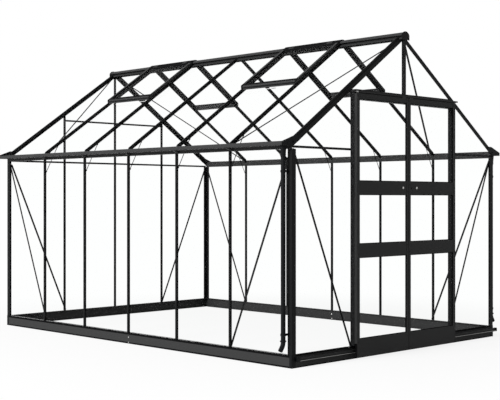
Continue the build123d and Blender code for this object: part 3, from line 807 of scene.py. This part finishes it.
def add_flange_shade_strips(material):
    """Dull dark strips on the base's top flange, in the doorway and beside the front panes: painted shade
    over the lit top of the flange.
    """
    shape = bmesh.new()
    front = -0.0016
    back = 0.0295
    doorway = POST_HIGH.x - 0.014
    post = POST_HIGH.x + 0.002
    corner = HALF_WIDTH - CORNER_LEG - 0.001
    strips = [(-doorway, doorway, front, back)]
    for edge, low_y, high_y in ((post, front, 0.0018), (post + 0.016, 0.0070, back)):
        strips += [(side * edge, side * corner, low_y, high_y) for side in SIDES]
    for start, end, low_y, high_y in strips:
        eased_block(
            shape, (start, FRONT_Y + low_y, PLINTH_TOP),
            (end, FRONT_Y + high_y, PLINTH_TOP + 0.0012), ease=0.0004)
    add_piece("flange_shade_strips", shape, material, "house")


def add_splice_screws(sizes, steel, coat):
    """Light screws and inner splice plates where the side plinths' two lengths meet."""
    screws = bmesh.new()
    plates = bmesh.new()
    web = 0.003
    plate = 0.0016
    half_length = 0.045
    margin = 0.0045
    for side in SIDES:
        outer = side * HALF_WIDTH
        back = side * (HALF_WIDTH - web)
        face = side * (HALF_WIDTH - web - plate)
        for z in (0.010, 0.052):
            add_screw(screws, (outer, CENTRE_Y, z), (side, 0, 0), sizes.nut_radius)
            add_screw(screws, (face, CENTRE_Y, z), (-side, 0, 0), sizes.nut_radius)
        eased_block(
            plates, (back, CENTRE_Y - half_length, margin),
            (face, CENTRE_Y + half_length, PLINTH_TOP - margin), ease=0.0005)
    add_piece("splice_screws", screws, steel, "house")
    add_piece("splice_plates", plates, coat, "house")


def add_post_feet(material):
    """Moulded end caps on the feet of the door posts, above the rollers' path."""
    shape = bmesh.new()
    front = POST_LOW.y - 0.0008
    back = FRONT_Y - 0.0006
    top = PLINTH_TOP + 0.0253
    for side in SIDES:
        inner = side * (POST_HIGH.x - 0.0135)
        outer = side * (POST_HIGH.x + 0.0012)
        eased_block(shape, (inner, front, top - 0.0163), (outer, back, top), ease=0.0010)
        eased_block(
            shape, (inner, back - 0.0028, PLINTH_TOP + 0.0003), (outer, back, top - 0.015), ease=0.0006)
        eased_block(shape, (inner, front, top), (outer, POST_LOW.y, top + 0.014), ease=0.0003)
    add_piece("post_feet", shape, material, "house")


def add_track(sizes, coat, runner):
    """Bottom track with a beaded running rail, its front lip and a light bead on the lip as painted
    highlight.
    """
    left, front, low = TRACK_LOW
    back = TRACK_HIGH.y
    high = TRACK_HIGH.z
    right = sizes.track_end
    wall = 0.003
    rail_y = back - 0.0135
    bead = 0.0019
    shape = bmesh.new()
    eased_block(shape, (left, front, low), (right, back, low + wall), ease=0.0006)
    eased_block(shape, (left, back - wall, low), (right, back, high), ease=0.0006)
    eased_block(
        shape, (left, rail_y - wall / 2, low), (right, rail_y + wall / 2, high - 0.0024), ease=0.0005)
    eased_block(shape, (left, front, low), (right, front + wall, low + 0.006), ease=0.0006)
    rail_top = along_track((left, rail_y, high - bead))
    turned(shape, rail_top, [(bead, 0.0), (bead, right - left)], segments=16)
    piece = add_piece("track_section", shape, coat, "house")
    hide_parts("door_track")
    shape = bmesh.new()
    length = right - left - 0.004
    turned(shape, along_track((left + 0.002, front + 0.0010, low + 0.0048)), [
        (0.0012, 0.0), (0.0022, 0.0010), (0.0022, length - 0.0010), (0.0012, length)], segments=14)
    add_piece("track_runner", shape, runner, "house")


def add_track_stops(sizes, material):
    """Moulded stops on both ends of the bottom track."""
    shape = bmesh.new()
    front = TRACK_LOW.y - 0.0012
    back = TRACK_HIGH.y - 0.0005
    low = TRACK_LOW.z - 0.0012
    high = TRACK_HIGH.z + 0.0015
    for end, reach in ((TRACK_LOW.x, 0.024), (sizes.track_end, 0.014)):
        eased_block(shape, (end - reach, front, low), (end + 0.0015, back, high), ease=0.0030)
    add_piece("track_stops", shape, material, "house")


# Gutters and pipes

def add_gutter_brackets(material):
    """Gussets under each gutter beside the heads of the wall bars."""
    shape = bmesh.new()
    floor = EAVES + 0.023
    wall = HALF_WIDTH + 0.0003
    top = floor - 0.0003
    foot = floor - 0.0180
    nose = HALF_WIDTH + 0.055
    outline = [
        (wall, top), (nose, top), (nose, floor - 0.0045), (HALF_WIDTH + 0.006, foot), (wall, foot)]
    for side in SIDES:
        for line in WALL_LINES:
            prism(shape, [(side * x, z) for x, z in outline], line - 0.034, line - 0.010)
    add_piece("gutter_brackets", shape, material, "house")


def add_cap_bosses(sizes, material):
    """Raised rims round the holes of the gutter end plates, and the plates' screws."""
    shape = bmesh.new()
    x = HALF_WIDTH - 0.012
    z = EAVES + 0.0503
    plate = 0.0033
    for side in SIDES:
        for end, gable in GABLES:
            y = gable + end * plate
            tube_ring(shape, facing((side * x, y, z), (0, end, 0)), [
                (0.0062, 0.0), (0.0100, 0.0), (0.0096, 0.0016), (0.0068, 0.0016)], segments=24)
            for dx, dz in ((0.060, -0.012), (-0.046, 0.006)):
                add_screw(shape, (side * (x + dx), y, z + dz), (0, end, 0), sizes.screw_radius)
    add_piece("cap_bosses", shape, material, "house")


def add_pipe_rims(sizes, material):
    """Collars below each funnel and round each shoe's socket, and the clips' screws."""
    shape = bmesh.new()
    y = FRONT_Y + 0.045
    x = HALF_WIDTH + 0.042
    funnel_neck = EAVES - 0.0433
    shoe_socket = 0.1900
    inner = 0.0197
    ease = 0.0006
    for side in SIDES:
        for z, outer, height in ((funnel_neck, 0.0218, 0.0036), (shoe_socket, 0.0232, 0.0090)):
            tube_ring(shape, facing((side * x, y, z), (0, 0, 1)), [
                (inner, 0.0), (outer - ease, 0.0), (outer, 0.0008), (outer, height - 0.0008),
                (outer - ease, height), (inner, height)], segments=28)
        for z in (0.240, EAVES - 0.160):
            spot = (side * (x + 0.0205), y, z)
            add_screw(shape, spot, (side, 0, 0), sizes.screw_radius * SMALL_SCREW)
    add_piece("pipe_rims", shape, material, "house")


# Roof vents

def add_vent_hoods(sizes, material):
    """Curved hinge hood of each roof vent, hooked over the ridge's crown."""
    shape = bmesh.new()
    radius = (RIDGE_HALF * RIDGE_HALF + RIDGE_RISE * RIDGE_RISE) / (2 * RIDGE_RISE)
    middle = APEX + RIDGE_TOP - radius
    angles = [math.radians(1.0 + step * 5.2) for step in range(13)]
    outline = [(radius + sizes.hood_thickness, angle) for angle in angles]
    outline += [(radius + 0.0004, angle) for angle in reversed(angles)]
    for side, line in VENTS:
        curve = [
            (side * reach * math.sin(angle), middle + reach * math.cos(angle))
            for reach, angle in outline]
        prism(shape, curve, line - VENT_HALF, line + VENT_HALF)
    add_piece("vent_hoods", shape, material, "house")


def add_vent_hinges(material):
    """Hinge leaves and knuckles along the head of each roof vent."""
    shape = bmesh.new()
    half = 0.030
    length = 2 * half
    knuckle = Matrix.Rotation(math.pi / 2, 4, "X") @ Matrix.Translation((-0.0045, 0.0034, -half))
    for side, line in VENTS:
        for offset in (-0.22, 0.22):
            matrix = slope_matrix(side, 0.049, line + offset, 0.0420)
            eased_block(shape, (-0.004, -half, 0.0002), (0.016, half, 0.0020), ease=0.0005, matrix=matrix)
            turned(shape, matrix @ knuckle, [
                (0.0026, 0.0), (0.0030, 0.0005), (0.0030, length - 0.0005), (0.0026, length)], segments=12)
    add_piece("vent_hinges", shape, material, "house")


def add_vent_stays(material):
    """Stay arm with its pegs inside the bottom rail of each roof vent."""
    shape = bmesh.new()
    foot = -0.0035
    for side, line in VENTS:
        matrix = slope_matrix(side, 0.547, line, 0.0192)
        eased_block(shape, (-0.005, -0.15, foot), (0.005, 0.15, -0.0002), ease=0.0008, matrix=matrix)
        for offset in (-0.11, -0.05, 0.05, 0.11):
            peg = matrix @ Matrix.Translation((0.0, offset, foot)) @ Matrix.Rotation(math.pi, 4, "X")
            turned(shape, peg, [
                (0.003, 0.0), (0.003, 0.004), (0.0045, 0.0045), (0.0040, 0.0060)], segments=12)
    add_piece("vent_stays", shape, material, "house")


def add_vent_seals(material):
    """Rubber beads round the panes of the roof vents."""
    shape = bmesh.new()
    pane_foot = 0.536
    pane_rise = 0.0323
    half_span = (BAY - VENT_RAIL) / 2
    length = (pane_foot - VENT_HEAD) / math.cos(PITCH)
    for side, line in VENTS:
        matrix = slope_matrix(side, VENT_HEAD, line, pane_rise)
        for start, end, left, right in border(0.0, length, -half_span, half_span, 0.004):
            eased_block(shape, (start, left, 0.0002), (end, right, 0.0040), ease=0.0008, matrix=matrix)
    add_piece("vent_seals", shape, material, "house")


def add_vent_shade_strips(material):
    """Dark dull strips on the faces and tops of each vent's bottom rail and head rail: painted shade on
    the rails' lit faces.
    """
    shape = bmesh.new()
    low = roof_z(VENT_FOOT, -VENT_LOW)
    high = roof_z(VENT_FOOT, -VENT_TOP)
    head = roof_z(VENT_HEAD)
    strip = 0.0007
    lower_band = 0.0115
    joint = 0.020
    foot_depth = 0.022 / math.cos(PITCH)
    head_depth = 0.0235
    inset = VENT_RAIL + 0.0002
    for side, line in VENTS:
        left = line - VENT_HALF
        right = line + VENT_HALF
        blocks = [
            (VENT_FOOT, left, right, low, low + lower_band),
            (VENT_FOOT, left, left + joint, low + lower_band, high),
            (VENT_FOOT, right - joint, right, low + lower_band, high),
        ]
        blocks += [
            (VENT_HEAD, left + inset, right - inset, head + z0, head + z1)
            for z0, z1 in ((0.0240, 0.0342), (0.0400, 0.0503))]
        for x, y0, y1, z0, z1 in blocks:
            eased_block(shape, (side * x, y0, z0), (side * (x + strip), y1, z1), ease=0.0003)
        for x, depth in ((VENT_FOOT, foot_depth), (VENT_HEAD, head_depth)):
            matrix = slope_matrix(side, x, line, VENT_TOP)
            eased_block(
                shape, (-depth, -VENT_HALF, 0.0), (0.0, VENT_HALF, strip), ease=0.0003, matrix=matrix)
    add_piece("vent_shade_strips", shape, material, "house")


# Doors and their hood

def door_edges(side):
    """A door's outer edge, its meeting edge and the outward direction along X."""
    low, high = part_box(f"{side}_door_stiles")
    if side == "right":
        return high.x, low.x, 1
    return low.x, high.x, -1


def door_panes(side):
    """Left, right, bottom and top of each pane opening of a door."""
    rails_low, rails_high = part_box(f"{side}_door_rails")
    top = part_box(f"{side}_door_stiles")[1].z - TOP_RAIL
    levels = ((SKIRT_TOP, LOWER_RAIL[0]), (LOWER_RAIL[1], UPPER_RAIL[0]), (UPPER_RAIL[1], top))
    return [(rails_low.x, rails_high.x, low, high) for low, high in levels]


def add_door_beads(side, sizes, material):
    """Rubber beads on both faces of a door's panes."""
    shape = bmesh.new()
    pane_face = 0.0021
    bead_face = 0.0050
    for pane in door_panes(side):
        for face in SIDES:
            front = DOOR_MIDDLE + face * pane_face
            back = DOOR_MIDDLE + face * bead_face
            for left, right, low, high in border(*pane, sizes.bead_width):
                eased_block(shape, (left, front, low), (right, back, high), ease=0.0007)
    add_door_piece(side, "beads", shape, material)


def add_door_brush(side, material):
    """Brush strip in the meeting stile: a carrier and a row of fine tufts."""
    shape = bmesh.new()
    low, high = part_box(f"{side}_door_stiles")
    _, edge, outward = door_edges(side)
    carrier = 0.0030
    tuft = 0.0012
    eased_block(
        shape, (edge, DOOR_MIDDLE - carrier, low.z + 0.004),
        (edge - outward * 0.0008, DOOR_MIDDLE + carrier, high.z - 0.004), ease=0.0002)
    root = edge - outward * 0.0006
    tip = edge - outward * 0.0022
    z = low.z + 0.008
    while z < high.z - 0.008:
        eased_block(
            shape, (root, DOOR_MIDDLE - tuft, z), (tip, DOOR_MIDDLE + tuft, z + 0.0045), ease=0.0004)
        z += 0.009
    add_door_piece(side, "brush", shape, material)


def add_stile_screws(side, sizes, material):
    """Screws where a door's stiles take its rails."""
    shape = bmesh.new()
    low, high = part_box(f"{side}_door_stiles")
    rails_low, rails_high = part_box(f"{side}_door_rails")
    inset = 0.022
    levels = [0.035, SKIRT_TOP - 0.024]
    for foot, head in (LOWER_RAIL, UPPER_RAIL):
        levels += [foot + inset, head - inset]
    levels.append(high.z - TOP_RAIL / 2)
    for x in ((low.x + rails_low.x) / 2, (high.x + rails_high.x) / 2):
        for z in levels:
            add_screw(shape, (x, DOOR_FRONT, z), (0, -1, 0), sizes.screw_radius * STILE_SCREW)
    add_door_piece(side, "screws", shape, material)


def add_door_shoe(side, material):
    """Moulded end cap on the foot of a door's outer stile."""
    shape = bmesh.new()
    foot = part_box(f"{side}_door_stiles")[0].z
    edge, _, outward = door_edges(side)
    front = DOOR_FRONT + 0.0004
    back = DOOR_BACK - 0.0004
    outer = edge + outward * 0.0022
    eased_block(shape, (edge + outward * 0.0002, front, foot), (outer, back, SHOE_TOP), ease=0.0007)
    eased_block(shape, (outer, front, foot - 0.0020), (edge - outward * 0.0260, back, foot), ease=0.0007)
    add_door_piece(side, "shoe", shape, material)


def add_door_lip(side, material):
    """Sloping draught lip along a door's outer stile."""
    shape = bmesh.new()
    edge, _, outward = door_edges(side)
    foot = SHOE_TOP + 0.0005
    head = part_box(f"{side}_door_stiles")[1].z - 0.004
    seat = 0.0001
    reach = 0.0122
    back = DOOR_BACK - 0.0006
    outline = [
        (seat, DOOR_FRONT + 0.0006), (0.0008, DOOR_FRONT + 0.0002), (reach, back - 0.0010),
        (reach, back), (seat, back)]
    extruded(shape, *([(edge + outward * x, y, z) for x, y in outline] for z in (foot, head)))
    add_door_piece(side, "lip", shape, material)


def add_door_lock(steel, coat):
    """Rose round the lock's hole and light knobs on both doors."""
    face = DOOR_MIDDLE - 0.006
    hole = (0.034, face, 1.285)
    knob_z = 1.289
    rose = bmesh.new()
    tube_ring(rose, facing(hole, (0, -1, 0)), [
        (0.0060, 0.0), (0.0110, 0.0), (0.0110, 0.0012), (0.0096, 0.0022), (0.0064, 0.0022)], segments=32)
    add_piece("lock_rose", rose, coat, "right_door")
    for side, x in (("left", -0.073), ("right", 0.100)):
        knob = bmesh.new()
        turned(knob, facing((x, face, knob_z), (0, -1, 0)), [
            (0.0085, 0.0), (0.0085, 0.0010), (0.0050, 0.0018), (0.0048, 0.0032),
            (0.0074, 0.0042), (0.0078, 0.0056), (0.0066, 0.0068), (0.0030, 0.0074),
        ], segments=28)
        add_door_piece(side, "knob", knob, steel)


def add_end_plug(material):
    """White plug in the left end of the hood's front lip."""
    shape = bmesh.new()
    face = HOOD_LOW.y
    eased_block(shape, (-0.634, face - 0.0012, 1.9985), (-0.612, face + 0.0002, 2.0095), ease=0.0005)
    add_piece("hood_end_plug", shape, material, "house")


# Studio

def add_camera(stage):
    """Level camera at the photographer's place."""
    data = bpy.data.cameras.new("photo_camera")
    data.sensor_width = 36.0
    data.lens = stage.lens_pixels / stage.picture_width * data.sensor_width
    data.shift_x = (stage.picture_width / 2 - stage.centre_x) / stage.picture_width
    data.shift_y = (stage.centre_y - stage.picture_height / 2) / stage.picture_width
    camera = bpy.data.objects.new("photo_camera", data)
    camera.location = Vector(stage.eye) + Vector((0.0, CENTRE_Y, 0.0))
    camera.rotation_euler = (math.pi / 2, 0.0, -stage.heading)
    bpy.context.scene.collection.objects.link(camera)
    bpy.context.scene.camera = camera


def add_key_lamp(stage):
    """Round soft lamp high on the left."""
    place = Vector((-15.5, 0.0, 6.5))
    target = Vector((0.0, 0.0, 1.2))
    data = bpy.data.lights.new("key_lamp", "AREA")
    data.shape = "DISK"
    data.size = 6.0
    data.energy = stage.key_power
    lamp = bpy.data.objects.new("key_lamp", data)
    lamp.location = place
    lamp.rotation_euler = (target - place).to_track_quat("-Z", "Y").to_euler()
    bpy.context.scene.collection.objects.link(lamp)


def add_world(stage):
    """White background for what is seen, weaker light for what is lit."""
    world = bpy.data.worlds.new("studio_world")
    world.use_nodes = True
    tree = world.node_tree
    tree.nodes.clear()
    lit = add_node(tree, "ShaderNodeBackground", {"Color": WHITE, "Strength": stage.ambient})
    seen = add_node(tree, "ShaderNodeBackground", {"Color": WHITE, "Strength": 1.0})
    mix = mixed_shaders(tree, seen_rays(tree), lit.outputs["Background"], seen.outputs["Background"])
    add_node(tree, "ShaderNodeOutputWorld", {"Surface": mix})
    bpy.context.scene.world = world


def floor_material(stage):
    """Pale floor that keeps a soft shadow near the object and ends in white."""
    material, tree = new_material("pale_floor")
    pale = add_node(tree, "ShaderNodeBsdfPrincipled", {
        "Base Color": (0.85, 0.85, 0.85, 1.0), "Roughness": 0.9, "Specular IOR Level": 0.0})
    place = add_node(tree, "ShaderNodeTexCoord", {})
    reach = add_node(
        tree, "ShaderNodeVectorMath", {0: place.outputs["Object"]}, operation="LENGTH")
    fade = add_node(tree, "ShaderNodeMapRange", {
        "From Min": 1.5, "From Max": 4.5, "To Min": stage.floor_white, "To Max": 1.0,
        "Value": reach.outputs["Value"],
    }, interpolation_type="SMOOTHSTEP").outputs["Result"]
    missing = worked_out(tree, "DIVIDE", 1.0 - stage.floor_lit, fade)
    strength = worked_out(tree, "ADD", missing, stage.floor_lit)
    glow = add_node(tree, "ShaderNodeEmission", {"Color": WHITE, "Strength": strength})
    share = worked_out(tree, "MULTIPLY", seen_rays(tree), fade)
    mix = mixed_shaders(tree, share, pale.outputs["BSDF"], glow.outputs["Emission"])
    add_node(tree, "ShaderNodeOutputMaterial", {"Surface": mix})
    return material


def add_floor(stage):
    """Round floor just below the base."""
    mesh = bpy.data.meshes.new("floor")
    shape = bmesh.new()
    bmesh.ops.create_circle(shape, cap_ends=True, segments=64, radius=45.0)
    shape.to_mesh(mesh)
    shape.free()
    floor = bpy.data.objects.new("floor", mesh)
    floor.location = (0.0, 0.0, -0.001)
    floor.data.materials.append(floor_material(stage))
    bpy.context.scene.collection.objects.link(floor)


# Operators

class GREENHOUSE_OT_coat_frame(Operator):
    """Give the frame, doors and vents their black powder coats"""

    bl_idname = "greenhouse.coat_frame"
    bl_label = "Coat frame"

    def execute(self, context):
        finish = context.scene.greenhouse_finish
        dress(COATED, coated_metal(finish))
        dress(MATT, matt_metal(finish))
        return {"FINISHED"}


class GREENHOUSE_OT_glaze(Operator):
    """Give the panes clear glass"""

    bl_idname = "greenhouse.glaze"
    bl_label = "Glaze panes"

    def execute(self, context):
        dress(GLAZED, clear_glass(context.scene.greenhouse_finish))
        return {"FINISHED"}


class GREENHOUSE_OT_finish_plastics(Operator):
    """Give the downpipes, clips, gutter caps and rollers their plastics"""

    bl_idname = "greenhouse.finish_plastics"
    bl_label = "Finish plastics"

    def execute(self, context):
        finish = context.scene.greenhouse_finish
        dress(MOULDED, pipe_plastic(finish))
        dress(ROLLING, roller_nylon(finish))
        return {"FINISHED"}


class GREENHOUSE_OT_fit_fasteners(Operator):
    """Fit the nuts, lugs and screws of the frame"""

    bl_idname = "greenhouse.fit_fasteners"
    bl_label = "Fit fasteners"

    def execute(self, context):
        sizes = context.scene.greenhouse_fittings
        zinc = black_zinc()
        add_strap_nuts(sizes, zinc)
        add_knee_lugs(zinc)
        add_cap_screws(sizes, zinc)
        add_ridge_screws(sizes, zinc)
        add_header_screws(sizes, zinc)
        return {"FINISHED"}


class GREENHOUSE_OT_fit_base(Operator):
    """Fit the base's shoes, painted-shade strips on its edges and top flange, splices, the posts' feet and
    the track
    """

    bl_idname = "greenhouse.fit_base"
    bl_label = "Fit base details"

    def execute(self, context):
        finish = context.scene.greenhouse_finish
        sizes = context.scene.greenhouse_fittings
        plastic = pipe_plastic(finish)
        coat = coated_metal(finish)
        add_corner_shoes(sizes, plastic)
        # Dark strips at the base's foot and top edge are painted shade
        add_base_shade_strips(seal_rubber(finish))
        # Dull dark strips on the top flange are painted shade
        add_flange_shade_strips(hood_and_shade_coat())
        add_splice_screws(sizes, stainless_steel(finish), coat)
        add_post_feet(plastic)
        # The light bead on the track's lip is a painted highlight
        add_track(sizes, coat, painted_highlight_metal(finish))
        add_track_stops(sizes, plastic)
        return {"FINISHED"}


class GREENHOUSE_OT_fit_gutters(Operator):
    """Fit the gutters' brackets and the rims and screws of end plates and pipes"""

    bl_idname = "greenhouse.fit_gutters"
    bl_label = "Fit gutter details"

    def execute(self, context):
        finish = context.scene.greenhouse_finish
        sizes = context.scene.greenhouse_fittings
        add_gutter_brackets(coated_metal(finish))
        add_cap_bosses(sizes, pipe_plastic(finish))
        add_pipe_rims(sizes, pipe_plastic(finish))
        return {"FINISHED"}


class GREENHOUSE_OT_fit_vents(Operator):
    """Fit the roof vents' hoods, hinges, stays, seals and painted-shade strips"""

    bl_idname = "greenhouse.fit_vents"
    bl_label = "Fit vent hardware"

    def execute(self, context):
        finish = context.scene.greenhouse_finish
        add_vent_hoods(context.scene.greenhouse_fittings, hood_and_shade_coat())
        add_vent_hinges(coated_metal(finish))
        add_vent_stays(black_zinc())
        add_vent_seals(seal_rubber(finish))
        # Dull dark strips on the vents' rails are painted shade
        add_vent_shade_strips(hood_and_shade_coat())
        return {"FINISHED"}


class GREENHOUSE_OT_fit_doors(Operator):
    """Fit the doors' beads, brushes, screws, end caps, lips and lock, and the hood's plug"""

    bl_idname = "greenhouse.fit_doors"
    bl_label = "Fit door hardware"

    def execute(self, context):
        finish = context.scene.greenhouse_finish
        sizes = context.scene.greenhouse_fittings
        rubber = seal_rubber(finish)
        coat = coated_metal(finish)
        for side in ("left", "right"):
            add_door_beads(side, sizes, rubber)
            add_door_brush(side, rubber)
            add_stile_screws(side, sizes, black_zinc())
            add_door_shoe(side, rubber)
            add_door_lip(side, coat)
        add_door_lock(stainless_steel(finish), coat)
        add_end_plug(plug_nylon(finish))
        return {"FINISHED"}


class GREENHOUSE_OT_stage(Operator):
    """Set up the floor, lamp, world and camera"""

    bl_idname = "greenhouse.stage"
    bl_label = "Stage"

    def execute(self, context):
        stage = context.scene.greenhouse_stage
        add_world(stage)
        add_floor(stage)
        add_key_lamp(stage)
        add_camera(stage)
        context.scene.view_settings.view_transform = "Standard"
        return {"FINISHED"}


class GREENHOUSE_PT_panel(Panel):
    """Lists the greenhouse's settings and steps"""

    bl_idname = "GREENHOUSE_PT_panel"
    bl_label = "Greenhouse"
    bl_space_type = "VIEW_3D"
    bl_region_type = "UI"
    bl_category = "Greenhouse"

    def draw(self, context):
        layout = self.layout
        scene = context.scene
        for group in (scene.greenhouse_finish, scene.greenhouse_fittings, scene.greenhouse_stage):
            box = layout.box()
            for name in group.__annotations__:
                box.prop(group, name)
        for step in STEPS:
            layout.operator(step.bl_idname)


STEPS = (
    GREENHOUSE_OT_coat_frame,
    GREENHOUSE_OT_glaze,
    GREENHOUSE_OT_finish_plastics,
    GREENHOUSE_OT_fit_fasteners,
    GREENHOUSE_OT_fit_base,
    GREENHOUSE_OT_fit_gutters,
    GREENHOUSE_OT_fit_vents,
    GREENHOUSE_OT_fit_doors,
    GREENHOUSE_OT_stage,
)
CLASSES = (FinishSettings, FittingSettings, StageSettings, *STEPS, GREENHOUSE_PT_panel)


def register():
    for item in CLASSES:
        bpy.utils.register_class(item)
    bpy.types.Scene.greenhouse_finish = PointerProperty(type=FinishSettings)
    bpy.types.Scene.greenhouse_fittings = PointerProperty(type=FittingSettings)
    bpy.types.Scene.greenhouse_stage = PointerProperty(type=StageSettings)


def unregister():
    del bpy.types.Scene.greenhouse_stage
    del bpy.types.Scene.greenhouse_fittings
    del bpy.types.Scene.greenhouse_finish
    for item in reversed(CLASSES):
        bpy.utils.unregister_class(item)


def main():
    register()
    bpy.ops.greenhouse.coat_frame()
    bpy.ops.greenhouse.glaze()
    bpy.ops.greenhouse.finish_plastics()
    bpy.ops.greenhouse.fit_fasteners()
    bpy.ops.greenhouse.fit_base()
    bpy.ops.greenhouse.fit_gutters()
    bpy.ops.greenhouse.fit_vents()
    bpy.ops.greenhouse.fit_doors()
    bpy.ops.greenhouse.stage()


if __name__ == "__main__":
    main()
